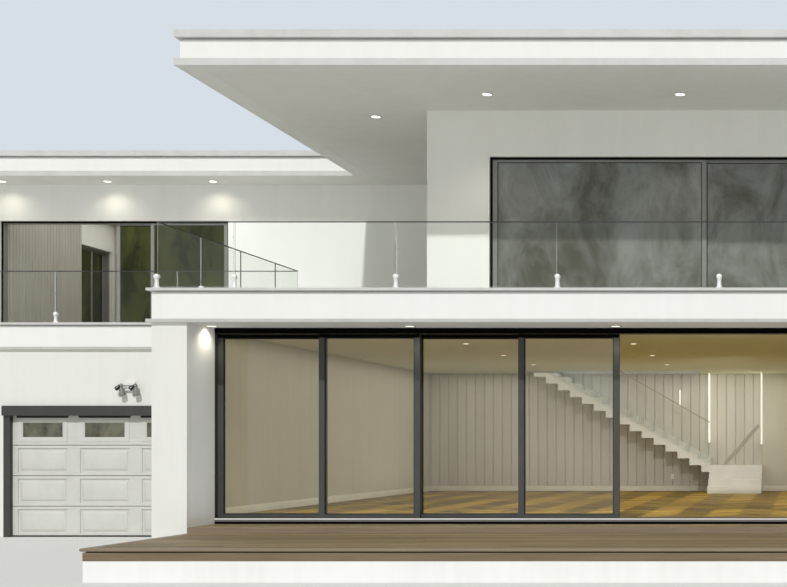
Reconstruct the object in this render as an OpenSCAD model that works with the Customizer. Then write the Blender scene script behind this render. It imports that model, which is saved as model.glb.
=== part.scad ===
// Detached modern house: two storeys, a flat overhanging roof, a wide glazed living room with sliding
// doors under a balcony, and a garage wing with a terrace on it.
// X runs to the right along the front, Y into the house from the glazing plane, Z up from the driveway.
// The origin is on the underside of the base, in the middle of the main block.

/* [Main block] */
// Width of the ground storey over its side walls
main_w = 16200; // [15000:100:18000]
// Depth from the glazing plane to the rear face
main_d = 12900; // [12400:100:15000]
// Thickness of the outer walls
wall_t = 300; // [240:10:400]
// Depth of the porch from the glazing plane to the front of the piers
porch_d = 1030; // [700:10:1400]
// Width of each front pier
pier_w = 520; // [450:10:700]

/* [Garage wing] */
// Width of the wing beyond the main block
wing_w = 7920; // [7600:20:9500]
// Setback of the wing's front wall behind the glazing plane
wing_setback = 4400; // [3500:100:5000]
// Depth of the terrace on the wing
terrace_d = 3450; // [2800:50:4200]
// Thickness of the garage's floor above the driveway
garage_floor_t = 60; // [40:10:120]

/* [Upper storey] */
// How far the upper storey's side walls stand in from those of the main block
upper_in = 3330; // [2900:10:3600]
// Setback of the upper front wall behind the glazing plane
upper_setback = 1570; // [1200:10:2000]

/* [Heights] */
// Height of the base above the driveway
plinth_h = 270; // [200:10:400]
// Thickness of the ground floor on the base
floor_t = 330; // [260:10:400]
// Clear height of the ground storey
storey_h = 2940; // [2800:10:3200]
// Thickness of the slabs over the ground storey
slab_t = 360; // [280:10:380]
// Clear height of the upper storey
upper_h = 3430; // [3200:10:3700]
// Thickness of the roof slabs
roof_slab_t = 350; // [260:10:400]

/* [Deck] */
// Gap between the deck's ends and the piers' inner faces
deck_in = 30; // [0:5:150]
// Depth of the deck in front of the piers
deck_d = 2970; // [2000:10:3600]
// Height of the deck's edge board under the shadow line
deck_fascia_h = 105; // [80:5:140]
// Height of the shadow line in the deck's edge
deck_gap_h = 15; // [10:1:30]
// Thickness of the deck's nose board
deck_nose_h = 40; // [30:1:60]
// Overhang of the nose board past the edge board
deck_nose_out = 25; // [10:1:40]
// Rise of the upper deck strip between the piers
step_h = 80; // [60:5:120]
// Setback of the base behind the deck's edge board
plinth_in = 30; // [10:5:80]

/* [Balcony edge] */
// Height of the lower lip
edge_lip_h = 45; // [40:5:100]
// Height of the white band over the lip
edge_band_h = 395; // [330:5:440]
// Height of the shadow gap between band and coping
edge_gap_h = 25; // [20:5:40]
// Depth of the shadow gap
edge_gap_in = 40; // [20:5:60]
// Height of the coping
edge_coping_h = 40; // [40:5:110]
// Projection of the lip and the coping past the band
edge_out = 60; // [40:5:120]
// Thickness of the edge beam
edge_t = 240; // [200:10:300]

/* [Roof edge] */
// Overhang of the roof past the upper front wall
roof_over_front = 2555; // [2000:5:2800]
// Overhang past the upper block's side walls
roof_over_side = 2930; // [2400:10:3200]
// Overhang past the rear walls
roof_over_rear = 1000; // [600:50:1300]
// Overhang past the wing's front wall
wing_over_front = 900; // [600:10:1200]
// Overhang past the wing's end wall
wing_over_end = 1000; // [600:50:1300]
// Height of the lower lip
roof_lip_h = 100; // [60:5:140]
// Height of the white band
roof_band_h = 290; // [200:10:320]
// Height of the shadow gap under the coping
roof_gap_h = 25; // [20:5:80]
// Depth of the shadow gap
roof_gap_in = 40; // [20:5:60]
// Height of the coping
roof_coping_h = 110; // [70:5:150]
// Projection of the lip and the coping past the band
roof_out = 65; // [40:5:120]
// Thickness of the roof's rim
roof_rim_t = 250; // [200:10:320]

/* [Sliding doors] */
// Distance of the first leaf from the side wall
door_in = 215; // [200:5:400]
// How much wider the first and third leaf, on the inner track, are than the second and fourth
leaf_diff = 125; // [0:5:160]
// Overlap of neighbouring leaves
leaf_lap = 85; // [80:5:100]
// Thickness of a leaf
leaf_t = 70; // [50:1:76]
// Width of a leaf's stiles
stile_w = 88; // [80:1:130]
// Height of a leaf's top and bottom rails
rail_h = 55; // [50:5:130]
// Distance between the two tracks
track_pitch = 90; // [86:1:110]
// Depth of the door frame
frame_d = 200; // [190:5:240]
// Height of the frame's head
head_h = 85; // [60:5:120]
// Height of the rail that a leaf rolls on
track_h = 12; // [8:1:20]
// Width of the rail that a leaf rolls on
track_w = 14; // [10:1:20]
// Running gap between a leaf and its rail
roll_gap = 0.3; // [0.2:0.1:1]
// Clearance beside and above the leaves
leaf_gap = 8; // [6:1:12]
// Clear width of the open bay at rest
bay_w = 2660; // [2400:20:2900]
// Thickness of the glass in doors and windows
glass_t = 28; // [20:1:34]

/* [Windows] */
// Head height of the upper windows above the floor
head_z = 2660; // [2400:10:2800]
// Width of the bars of a window's outer frame
bar_w = 45; // [35:5:70]
// Width of the sashes' upright bars
sash_bar = 75; // [70:5:110]
// Height of the sashes' top and bottom bars
sash_rail = 38; // [30:1:90]
// Thickness of a sash
sash_t = 44; // [38:1:50]
// Distance between the tracks of the sashes
sash_pitch = 54; // [52:1:60]
// Setback of the window frames behind the wall's face
reveal = 70; // [40:5:110]
// Width of the upper front window
upper_win_w = 7460; // [6000:20:7800]
// Place where its two sashes meet, left of the window's middle
upper_meet = 140; // [0:10:600]
// Width of the wing's window
wing_win_w = 4910; // [4000:10:5200]
// Width of each of its three sashes
wing_sash_w = 1655; // [1500:5:1680]
// How far its middle sash stands open beside the right one
wing_open = 760; // [0:10:1500]
// Place of the window in the wing's end wall behind the glazing plane
end_win_y = 11070; // [10600:10:11400]
// Width of that window
end_win_w = 1430; // [1000:10:1500]
// Width of the balcony doors and the rear windows
side_win_w = 2400; // [1800:20:2600]
// Distance of the first balcony door behind the glazing plane
side_win_y = 3400; // [2600:50:4000]
// Distance from the first balcony door to the second
side_win_pitch = 5600; // [4800:50:6000]
// Distance of the first rear window from the wing's end
rear_win_in = 2600; // [1000:50:3000]
// Distance from one rear window to the next
rear_win_pitch = 4400; // [3200:50:4400]
// Sill height of the ground storey's rear and side windows
ground_sill = 900; // [600:20:1200]
// Height of the ground storey's rear and side windows
ground_win_h = 1500; // [1000:20:1700]

/* [Garage door] */
// Width of the garage door
gate_w = 4696; // [4000:8:4800]
// Height of one door section
section_h = 578; // [500:1:600]
// Distance of the door from the main block
gate_in = 664; // [500:4:900]
// Thickness of the door
gate_t = 45; // [35:1:60]
// Setback of the door's face behind the wall's face
gate_back = 100; // [60:5:160]
// Height of the dark lintel box over the door
lintel_h = 185; // [120:5:240]
// Projection of the lintel box past the wall's face
lintel_out = 60; // [20:5:90]
// Width of the dark jambs beside the door
jamb_w = 120; // [80:5:180]
// Lap of the jambs and the lintel box over the door's edges
gate_lap = 20; // [10:1:30]
// Margin beside each raised field
field_in_x = 118; // [90:2:160]
// Margin above and below each raised field
field_in_z = 60; // [50:2:100]
// Height of a raised field above the door's face
field_t = 12; // [8:1:20]
// Margin beside each pane of the top section
pane_in_x = 212; // [180:2:260]
// Margin above and below each pane of the top section
pane_in_z = 140; // [120:2:170]

/* [Railings] */
// Height of the railing above the coping
railing_h = 1005; // [900:5:1200]
// Distance between the joints of the front panes
pane_pitch = 2400; // [1800:50:2600]
// Length of the first pane at the front left corner
first_pane = 1150; // [800:50:1400]
// Distance between the joints of the side panes
side_pane = 1485; // [1200:5:1800]
// Length of the first side pane
first_side_pane = 1450; // [1000:50:1800]
// Distance between the joints of the terrace's panes
wing_pane = 2300; // [1800:50:2600]
// Thickness of the railing glass
pane_t = 17; // [12:1:22]
// Gap between two panes
pane_gap = 12; // [8:1:20]
// Gap between the coping and the panes
pane_lift = 38; // [25:1:60]
// Height of the slim top rail
cap_h = 15; // [10:1:30]
// Width of the slim top rail
cap_w = 24; // [23:1:40]
// Distance of the front railing behind the band's face
rail_in_front = 130; // [90:5:150]
// Distance of the side railings behind the band's face
rail_in_side = 15; // [-20:5:120]
// Distance of the wing's railing behind the band's face
rail_in_wing = 205; // [90:5:220]
// Radius of a clamp's foot
clamp_foot_r = 70; // [50:1:80]
// Height of a clamp's foot
clamp_foot_h = 45; // [15:1:60]
// Radius of a clamp's neck
clamp_neck_r = 36; // [20:1:40]
// Radius of a clamp's head
clamp_head_r = 40; // [38:1:60]
// Height of a clamp's head above the coping
clamp_head_z = 185; // [120:5:200]

/* [Stair] */
// Number of risers from floor to floor
risers = 20; // [19:1:21]
// Number of risers below the landing
lower_risers = 4; // [3:1:5]
// Depth of a tread
going = 290; // [270:5:300]
// Clear width of the upper flight
stair_w = 1100; // [900:20:1200]
// Width of the lower flight
lower_w = 1270; // [1200:5:1400]
// Place of the upper flight's first riser, left of the middle
stair_x = 715; // [600:5:900]
// Thickness of the folded flight under its treads
tread_t = 165; // [120:5:200]
// Thickness of the folded flight behind its risers
riser_t = 200; // [150:5:230]
// Height of the glass over the steps
stair_glass_h = 860; // [800:10:1000]
// Thickness of the stair's glass
stair_glass_t = 15; // [10:1:20]
// Thickness of the handrail
handrail_t = 30; // [30:1:50]
// Gap between the flight and the front edge of the stairwell
well_gap = 100; // [60:10:160]

/* [Lamps] */
// Radius of a downlight
lamp_r = 90; // [50:5:90]
// Height of a downlight's rim under the soffit
lamp_h = 10; // [6:1:15]
// Place of the twin floodlight, left of the main block
flood_in = 3050; // [2600:10:3400]
// Height of its wall box's middle above the driveway
flood_z = 2850; // [2700:10:3000]
// Width and height of its wall box
flood_w = 190; // [140:10:240]
// Depth of its wall box
flood_d = 60; // [40:5:90]
// Distance between its two lamp heads
flood_span = 268; // [260:2:400]
// Distance of the heads in front of the wall
flood_out = 110; // [100:5:140]
// Radius of a head's joint
flood_joint_r = 42; // [30:1:50]
// Radius of a head's round eye
flood_eye_r = 40; // [28:1:48]
// Length of that eye from the joint's middle
flood_eye_l = 120; // [80:5:140]
// Radius of a head's lower end
flood_r = 58; // [40:1:60]
// Length of a head below its joint
flood_l = 180; // [150:5:240]
// Distance of the porch's inner downlights from the middle
porch_lamp_inner = 1340; // [1000:20:1600]
// Distance of its middle downlights from the middle
porch_lamp_mid = 4470; // [3800:10:5000]
// Distance of its outer downlights from the piers
porch_lamp_side = 100; // [95:5:600]
// Setback of the porch's downlights behind the band's face
porch_lamp_in = 600; // [400:10:900]
// Distance between the downlights of the front roof soffit
roof_lamp_pitch = 3085; // [2500:5:3500]
// Shift of the row in the front roof soffit to the left
roof_lamp_shift = 445; // [0:5:800]
// Setback of that row behind the roof's face
roof_lamp_in = 1550; // [1000:10:2000]
// Distance of the side soffit's downlights from the wall
side_lamp_out = 990; // [600:10:1600]
// Distance of the side soffit's first downlight behind the glazing plane
side_lamp_y = 1990; // [1900:10:2600]
// Distance between the two lamps over each side
side_lamp_pitch = 3600; // [2800:10:4000]
// Distance of the living room's first row of downlights behind the glazing plane
lamp_row_y = 2970; // [1900:10:3100]
// Distance between the downlights of the side soffit and the living room, front to back
lamp_row_pitch = 2985; // [2600:5:3100]
// Distance of the wing's first downlight from the wing's end
wing_lamp_in = 580; // [400:10:1200]
// Distance between the wing's downlights
wing_lamp_pitch = 2235; // [1800:5:2400]
// Distance of the wing's downlights in front of its wall
wing_lamp_out = 380; // [300:10:800]
// Distance of the living room's outer rows of downlights from the middle
room_lamp_x = 4470; // [3900:10:5200]

/* [Hidden] */
$fn = 48;

// Plan positions
main_x = main_w / 2;
wing_x = -main_x - wing_w;
wing_upper_y = wing_setback + terrace_d;
upper_x = main_x - upper_in;
front_y = -porch_d;
room_x = main_x - wall_t;
room_y = main_d - wall_t;
roof_x = upper_x + roof_over_side;
roof_front = upper_setback - roof_over_front;
roof_rear = main_d + roof_over_rear;
roof_end = wing_x - wing_over_end;
wing_roof_front = wing_upper_y - wing_over_front;

// Levels
floor_z = plinth_h + floor_t;
soffit_z = floor_z + storey_h;
first_z = soffit_z + slab_t;
edge_gap_z = soffit_z + edge_lip_h + edge_band_h;
edge_top = edge_gap_z + edge_gap_h;
coping_z = edge_top + edge_coping_h;
roof_z = first_z + upper_h;
roof_band_z = roof_z + roof_lip_h;
roof_gap_z = roof_band_z + roof_band_h;
roof_coping_z = roof_gap_z + roof_gap_h;
deck_z = plinth_h + deck_fascia_h + deck_gap_h + deck_nose_h;
step_z = deck_z + step_h;
sill_top = floor_z - track_h;
leaf_z = floor_z + roll_gap;
leaf_top = soffit_z - head_h - leaf_gap;
leaf_h = leaf_top - leaf_z;

// Open joint between neighbouring lengths of an edge
joint = 2;
// Colours of the finishes
render_white = "#f2f2f0";
coping_grey = "#d2d2d0";
frame_grey = "#4c4d4b";
deck_brown = "#7c6b55";
glass_tint = "#9fb0ad";
steel_white = "#e4e6e6";

// Outer line of the balcony and terrace edge, moved out by e, from the wing's wall round to the rear
function edge_path(e) = [
    [wing_x - e, wing_upper_y],
    [wing_x - e, wing_setback - e],
    [-main_x - e, wing_setback - e],
    [-main_x - e, front_y - e],
    [main_x + e, front_y - e],
    [main_x + e, main_d + e],
    [upper_x, main_d + e]
];

// Outer line of the roof, moved out by e, closed on its first corner
function roof_path(e) = [
    [-roof_x - e, roof_front - e],
    [roof_x + e, roof_front - e],
    [roof_x + e, roof_rear + e],
    [roof_end - e, roof_rear + e],
    [roof_end - e, wing_roof_front - e],
    [-roof_x - e, wing_roof_front - e],
    [-roof_x - e, roof_front - e]
];

// Line of the railings, from the terrace's end round the front to the rear
rail_path = [
    [wing_x + rail_in_side, wing_upper_y],
    [wing_x + rail_in_side, wing_setback + rail_in_wing],
    [-main_x + rail_in_side, wing_setback + rail_in_wing],
    [-main_x + rail_in_side, front_y + rail_in_front],
    [main_x - rail_in_side, front_y + rail_in_front],
    [main_x - rail_in_side, main_d - rail_in_side],
    [upper_x, main_d - rail_in_side]
];
// Each length of railing: the corner that it is measured from, its other end, its first pane, the rest
rail_runs = [
    [rail_path[1], rail_path[0], pane_pitch, pane_pitch],
    [rail_path[2], rail_path[1], wing_pane, wing_pane],
    [rail_path[3], rail_path[2], first_side_pane, side_pane],
    [rail_path[3], rail_path[4], first_pane, pane_pitch],
    [rail_path[4], rail_path[5], first_side_pane, side_pane],
    [rail_path[5], rail_path[6], pane_pitch, pane_pitch]
];
// The shortest pane that is left at the end of a length
short_pane = 500;
function run_length(run) = norm(run[1] - run[0]);
// Places of the joints along a length of railing, with its two ends
function stops(run) = concat(
    [0], [for (s = [run[2] : run[3] : run_length(run) - short_pane]) s], [run_length(run)]
);

// One length of an edge, between two corners of its outer and inner lines
module edge_layer(outer, inner, i, z, h) {
    side = outer[i + 1] - outer[i];
    u = side / norm(side) * joint / 2;
    translate([0, 0, z])
        linear_extrude(h)
            polygon([outer[i] + u, outer[i + 1] - u, inner[i + 1] - u, inner[i] + u]);
}

// A box from one corner to the opposite one
module block(a, b) {
    translate(a)
        cube(b - a);
}

// A wall along X with holes given as [from, to, bottom, top]
module wall_x(x0, x1, y, z0, z1, holes) {
    difference() {
        block([x0, y, z0], [x1, y + wall_t, z1]);
        for (h = holes)
            block([h[0], y - 1, h[2]], [h[1], y + wall_t + 1, h[3]]);
    }
}

// A wall along Y with holes given as [from, to, bottom, top]
module wall_y(y0, y1, x, z0, z1, holes) {
    difference() {
        block([x, y0, z0], [x + wall_t, y1, z1]);
        for (h = holes)
            block([x - 1, h[0], h[2]], [x + wall_t + 1, h[1], h[3]]);
    }
}

// Depth of a window's frame: three tracks, of which the first is the outer one
bar_d = 3 * sash_pitch;

// A sliding window of width w and height h: the outer frame, and sashes as [left edge, width, track]
module window_frame(w, h, sashes) {
    difference() {
        cube([w, bar_d, h]);
        block([bar_w, -1, bar_w], [w - bar_w, bar_d + 1, h - bar_w]);
    }
    for (s = sashes)
        translate([s[0], (s[2] - 0.5) * sash_pitch - sash_t / 2, bar_w])
            difference() {
                cube([s[1], sash_t, h - 2 * bar_w]);
                block([sash_bar, -1, sash_rail],
                      [s[1] - sash_bar, sash_t + 1, h - 2 * bar_w - sash_rail]);
            }
}

// The panes of such a window
module window_panes(w, h, sashes) {
    for (s = sashes)
        translate([s[0], (s[2] - 0.5) * sash_pitch - glass_t / 2, bar_w])
            block([sash_bar, 0, sash_rail], [s[1] - sash_bar, glass_t, h - 2 * bar_w - sash_rail]);
}

// Two sashes that meet at m from the left end, the left one on the outer track
function two_sashes(w, m) = [
    [bar_w, m + sash_bar / 2 - bar_w, 1],
    [m - sash_bar / 2, w - bar_w - m + sash_bar / 2, 2]
];
// Three sashes slid to the right: one over the other at the end, and one that stands half open
function slid_sashes(w) = [
    [w - bar_w - wing_sash_w, wing_sash_w, 1],
    [w - bar_w - wing_sash_w - wing_open, wing_sash_w, 2],
    [w - bar_w - wing_sash_w, wing_sash_w, 3]
];

// Windows as [place along the wall, wall's face, bottom, width, height, side, sashes]
rear_x = [wing_x + rear_win_in, wing_x + rear_win_in + rear_win_pitch,
          -rear_win_pitch / 2 - side_win_w / 2, rear_win_pitch / 2 - side_win_w / 2];
side_doors_y = [side_win_y, side_win_y + side_win_pitch];
ground_sill_z = floor_z + ground_sill;
pair = two_sashes(side_win_w, side_win_w / 2);
upper_windows = concat(
    [[-upper_win_w / 2, upper_setback, first_z, upper_win_w, head_z, "front",
      two_sashes(upper_win_w, upper_win_w / 2 - upper_meet)]],
    [[wing_x + wall_t, wing_upper_y, first_z, wing_win_w, head_z, "front", slid_sashes(wing_win_w)]],
    [[end_win_y, wing_x, first_z, end_win_w, head_z, "left", two_sashes(end_win_w, end_win_w / 2)]],
    [[side_doors_y[0], -upper_x, first_z, side_win_w, head_z, "left", pair]],
    [for (y = side_doors_y) [y, upper_x, first_z, side_win_w, head_z, "right", pair]],
    [for (x = rear_x) [x, main_d, first_z, side_win_w, head_z, "rear", pair]]
);
ground_windows = concat(
    [for (y = side_doors_y) [y, main_x, ground_sill_z, side_win_w, ground_win_h, "right", pair]],
    [[(main_x - side_win_w) / 2, main_d, ground_sill_z, side_win_w, ground_win_h, "rear", pair]]
);

// Holes that the windows of one side leave in the wall with that face
function holes_of(windows, side, face) = [
    for (w = windows) if (w[5] == side && w[1] == face) [w[0], w[0] + w[3], w[2], w[2] + w[4]]
];

// Turns a frame or its panes from the front to the side that its window is on
module on_side(w) {
    if (w[5] == "front")
        translate([w[0], w[1] + reveal, w[2]])
            children();
    if (w[5] == "rear")
        translate([w[0] + w[3], w[1] - reveal, w[2]])
            rotate([0, 0, 180])
                children();
    if (w[5] == "left")
        translate([w[1] + reveal, w[0] + w[3], w[2]])
            rotate([0, 0, -90])
                children();
    if (w[5] == "right")
        translate([w[1] - reveal, w[0], w[2]])
            rotate([0, 0, 90])
                children();
}

module foundation() {
    deck_x = main_x - pier_w - deck_in - plinth_in;
    deck_front = front_y - deck_d + plinth_in;
    color(render_white)
        linear_extrude(plinth_h)
            polygon([
                [-main_x, front_y], [-deck_x, front_y], [-deck_x, deck_front], [deck_x, deck_front],
                [deck_x, front_y], [main_x, front_y], [main_x, main_d], [-main_x, main_d]
            ]);
}

// Floor of the living room, with the lower rebate that the door frame stands in
module ground_floor() {
    color("#9a7038")
        union() {
            block([-room_x, -frame_d / 2, plinth_h], [room_x, room_y, step_z]);
            block([-room_x, frame_d / 2, plinth_h], [room_x, room_y, floor_z]);
        }
}

// Lower deck: an edge board, a set-back shadow line and the boarded top with its nose
module deck() {
    x = main_x - pier_w - deck_in;
    y0 = front_y - deck_d;
    nose_z = deck_z - deck_nose_h;
    gap_z = nose_z - deck_gap_h;
    color(deck_brown)
        union() {
            block([-x + deck_nose_out, y0 + deck_nose_out, plinth_h], [x - deck_nose_out, front_y, gap_z]);
            block([-x + 2 * deck_nose_out, y0 + 2 * deck_nose_out, gap_z],
                  [x - 2 * deck_nose_out, front_y, nose_z]);
            block([-x, y0, nose_z], [x, front_y, deck_z]);
        }
}

// Upper deck strip between the piers, up to the door frame
module deck_step() {
    x = main_x - pier_w;
    color(deck_brown)
        block([-x, front_y, plinth_h], [x, -frame_d / 2, step_z]);
}

module pier(side) {
    x0 = side < 0 ? -main_x : main_x - pier_w;
    color(render_white)
        block([x0, front_y, plinth_h], [x0 + pier_w, -frame_d / 2, soffit_z]);
}

module left_pier() {
    pier(-1);
}

module right_pier() {
    pier(1);
}

module ground_left_wall() {
    color(render_white)
        wall_y(-frame_d / 2, main_d, -main_x, plinth_h, soffit_z, []);
}

module ground_right_wall() {
    color(render_white)
        wall_y(-frame_d / 2, main_d, room_x, plinth_h, soffit_z, holes_of(ground_windows, "right", main_x));
}

module ground_back_wall() {
    color(render_white)
        wall_x(-room_x, room_x, room_y, plinth_h, soffit_z, holes_of(ground_windows, "rear", main_d));
}

// The garage door, its opening and the lintel box's underside
gate_x1 = -main_x - gate_in;
gate_x0 = gate_x1 - gate_w;
gate_h = 4 * section_h;
gate_y = wing_setback + gate_back;
opening_x0 = gate_x0 + gate_lap - jamb_w;
opening_x1 = gate_x1 - gate_lap + jamb_w;
lintel_z = gate_h - gate_lap;

module garage_front_wall() {
    color(render_white)
        wall_x(wing_x, -main_x, wing_setback, 0, soffit_z,
               [[opening_x0, opening_x1, -1, lintel_z + lintel_h]]);
}

module garage_left_wall() {
    color(render_white)
        wall_y(wing_setback + wall_t, main_d, wing_x, 0, soffit_z, []);
}

module garage_back_wall() {
    color(render_white)
        wall_x(wing_x + wall_t, -main_x, room_y, 0, soffit_z, []);
}

module garage_floor() {
    color("#b5b4b0")
        block([wing_x + wall_t, wing_setback + wall_t, 0], [-main_x, room_y, garage_floor_t]);
}

// One of the door's four columns, and a box in it with margins beside, above and below
gate_col = gate_w / 4;
module gate_field(column, row, in_x, in_z, y0, y1) {
    x = gate_x0 + column * gate_col;
    block([x + in_x, y0, row * section_h + in_z], [x + gate_col - in_x, y1, (row + 1) * section_h - in_z]);
}

// Four sections with grooves at their joints, raised fields and a row of panes in the top one
module garage_door() {
    groove = 8;
    color("#d8d8d4")
        difference() {
            union() {
                block([gate_x0, gate_y, 0], [gate_x1, gate_y + gate_t, gate_h]);
                for (c = [0 : 3], r = [0 : 3])
                    gate_field(c, r, field_in_x, field_in_z, gate_y - field_t, gate_y + 1);
            }
            for (r = [1 : 3])
                block([gate_x0 - 1, gate_y - 1, r * section_h - groove / 2],
                      [gate_x1 + 1, gate_y + groove, r * section_h + groove / 2]);
            for (c = [0 : 3])
                gate_field(c, 3, pane_in_x, pane_in_z, gate_y - field_t - 1, gate_y + gate_t + 1);
        }
}

module garage_door_glass() {
    color(glass_tint, 0.5)
        for (c = [0 : 3])
            gate_field(c, 3, pane_in_x, pane_in_z, gate_y + gate_t / 3, gate_y + gate_t * 2 / 3);
}

// Dark jambs in front of the door's edges, under a lintel box that stands proud of the wall
module garage_door_frame() {
    color(frame_grey)
        union() {
            block([opening_x0, wing_setback, 0], [gate_x0 + gate_lap, gate_y, lintel_z + 1]);
            block([gate_x1 - gate_lap, wing_setback, 0], [opening_x1, gate_y, lintel_z + 1]);
            block([opening_x0, wing_setback - lintel_out, lintel_z],
                  [opening_x1, gate_y, lintel_z + lintel_h]);
        }
}

// Twin floodlight: a wall box, a crossbar in front of it, and at each end a joint with its eye and head
module floodlight() {
    bar = flood_joint_r / 2;
    eye_turn = 25;
    eye_tilt = -125;
    head_tilt = 8;
    color(steel_white)
        translate([-main_x - flood_in, wing_setback, flood_z])
            union() {
                block([-flood_w / 2, -flood_d, -flood_w / 2], [flood_w / 2, 0, flood_w / 2]);
                block([-flood_span / 2, -flood_out - bar / 2, -bar / 2],
                      [flood_span / 2, -flood_out + bar / 2, bar / 2]);
                block([-bar / 2, -flood_out, -bar / 2], [bar / 2, 0, bar / 2]);
                for (s = [-1, 1])
                    translate([s * flood_span / 2, -flood_out, 0]) {
                        sphere(r = flood_joint_r);
                        rotate([0, 0, eye_turn])
                            rotate([0, eye_tilt, 0])
                                cylinder(r = flood_eye_r, h = flood_eye_l);
                        rotate([0, -head_tilt, 0])
                            translate([0, 0, -flood_l])
                                cylinder(r1 = flood_r, r2 = flood_joint_r * 0.8, h = flood_l);
                    }
            }
}

// Stairwell in the slab over the stair
well_x0 = -stair_x - (risers - lower_risers - 1) * going - riser_t;
well_x1 = -stair_x - going;
well_y = room_y - stair_w - well_gap;

// Slab over the living room, up to the front edge of the stairwell
module first_floor_slab() {
    x = main_x - edge_t;
    color("#e8e8e4")
        block([-x, front_y + edge_t, soffit_z], [x, well_y, first_z]);
}

// Rear parts of that slab, on the left and on the right of the stairwell
module stairwell_slabs() {
    x = main_x - edge_t;
    color("#e8e8e4") {
        block([-x, well_y, soffit_z], [well_x0, room_y, first_z]);
        translate([0, 0, soffit_z])
            linear_extrude(slab_t)
                polygon([
                    [well_x1, well_y], [x, well_y], [x, main_d - edge_t], [upper_x, main_d - edge_t],
                    [upper_x, main_d], [upper_x - wall_t, main_d], [upper_x - wall_t, room_y],
                    [well_x1, room_y]
                ]);
    }
}

module terrace_slab() {
    x = -main_x + edge_t;
    color("#e8e8e4")
        translate([0, 0, soffit_z])
            linear_extrude(slab_t)
                polygon([
                    [wing_x, wing_upper_y], [wing_x + edge_t, wing_upper_y],
                    [wing_x + edge_t, wing_setback + edge_t], [x, wing_setback + edge_t],
                    [x, room_y], [wing_x, room_y]
                ]);
}

// White band with its lower lip and the shadow gap under the coping, round the balcony and the terrace
module balcony_edge() {
    color(render_white)
        for (i = [0 : 5])
            union() {
                edge_layer(edge_path(edge_out), edge_path(-edge_t), i, soffit_z, edge_lip_h);
                edge_layer(edge_path(0), edge_path(-edge_t), i, soffit_z + edge_lip_h, edge_band_h);
                edge_layer(edge_path(-edge_gap_in), edge_path(-edge_t), i, edge_gap_z, edge_gap_h);
            }
}

module balcony_coping() {
    color(coping_grey)
        for (i = [0 : 5])
            edge_layer(edge_path(edge_out), edge_path(-edge_t - edge_out / 2), i, edge_top, edge_coping_h);
}

module upper_front_wall() {
    color(render_white)
        wall_x(-upper_x, upper_x, upper_setback, first_z, roof_z,
               holes_of(upper_windows, "front", upper_setback));
}

module upper_left_wall() {
    color(render_white)
        wall_y(upper_setback + wall_t, wing_upper_y, -upper_x, first_z, roof_z,
               holes_of(upper_windows, "left", -upper_x));
}

module upper_right_wall() {
    color(render_white)
        wall_y(upper_setback + wall_t, main_d, upper_x - wall_t, first_z, roof_z,
               holes_of(upper_windows, "right", upper_x));
}

// Rear wall of the upper storey, down over the slabs' rear edges
module upper_back_wall() {
    color(render_white)
        wall_x(wing_x, upper_x - wall_t, room_y, soffit_z, roof_z, holes_of(upper_windows, "rear", main_d));
}

module wing_front_wall() {
    color(render_white)
        wall_x(wing_x, -upper_x + wall_t, wing_upper_y, first_z, roof_z,
               holes_of(upper_windows, "front", wing_upper_y));
}

module wing_left_wall() {
    color(render_white)
        wall_y(wing_upper_y + wall_t, room_y, wing_x, first_z, roof_z,
               holes_of(upper_windows, "left", wing_x));
}

module roof_slab() {
    color("#b9b9b6")
        block([-roof_x + roof_rim_t, roof_front + roof_rim_t, roof_z],
              [roof_x - roof_rim_t, roof_rear - roof_rim_t, roof_z + roof_slab_t]);
}

module wing_roof_slab() {
    color("#b9b9b6")
        block([roof_end + roof_rim_t, wing_roof_front + roof_rim_t, roof_z],
              [-roof_x + roof_rim_t, roof_rear - roof_rim_t, roof_z + roof_slab_t]);
}

// White band of the roof with its lower lip and the shadow gap under the coping
module roof_edge() {
    color(render_white)
        for (i = [0 : 5])
            union() {
                edge_layer(roof_path(roof_out), roof_path(-roof_rim_t), i, roof_z, roof_lip_h);
                edge_layer(roof_path(0), roof_path(-roof_rim_t), i, roof_band_z, roof_band_h);
                edge_layer(roof_path(-roof_gap_in), roof_path(-roof_rim_t), i, roof_gap_z, roof_gap_h);
            }
}

module roof_coping() {
    color(coping_grey)
        for (i = [0 : 5])
            edge_layer(roof_path(roof_out), roof_path(-roof_rim_t - roof_out / 2), i,
                       roof_coping_z, roof_coping_h);
}

// Width of two neighbouring leaves: all four fill the way from the side wall to the open bay, with their laps
leaf_pair = (room_x - door_in - bay_w / 2 + 3 * leaf_lap) / 2;
// Leaves 1 and 3 run on the inner track, leaves 2 and 4 on the outer one
function leaf_width(i) = (leaf_pair + (i % 2 == 1 ? leaf_diff : -leaf_diff)) / 2;
function leaf_y(i) = (i % 2 == 1 ? 1 : -1) * track_pitch / 2 - leaf_t / 2;
// Left edge of each of the four leaves on the left of the open bay, laid one over the next from the bay
function leaf_x(i) = i > 4 ? -bay_w / 2 - leaf_lap : leaf_x(i + 1) + leaf_lap - leaf_width(i);
door_x = -leaf_x(1) + leaf_gap;

// Sill with two rails, jambs and head round all the sliding leaves
module door_frame() {
    color(frame_grey)
        union() {
            block([-room_x, -frame_d / 2, step_z], [room_x, frame_d / 2, sill_top]);
            block([-room_x, -frame_d / 2, soffit_z - head_h], [room_x, frame_d / 2, soffit_z]);
            for (s = [-1, 1]) {
                translate([0, s * track_pitch / 2, 0])
                    block([-room_x, -track_w / 2, sill_top - 1], [room_x, track_w / 2, floor_z]);
            }
            block([-room_x, -frame_d / 2, sill_top - 1], [-door_x, frame_d / 2, soffit_z]);
            block([door_x, -frame_d / 2, sill_top - 1], [room_x, frame_d / 2, soffit_z]);
        }
}

// Frame of a leaf of width w
module leaf_frame(w) {
    difference() {
        cube([w, leaf_t, leaf_h]);
        block([stile_w, -1, rail_h], [w - stile_w, leaf_t + 1, leaf_h - rail_h]);
    }
}

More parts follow.
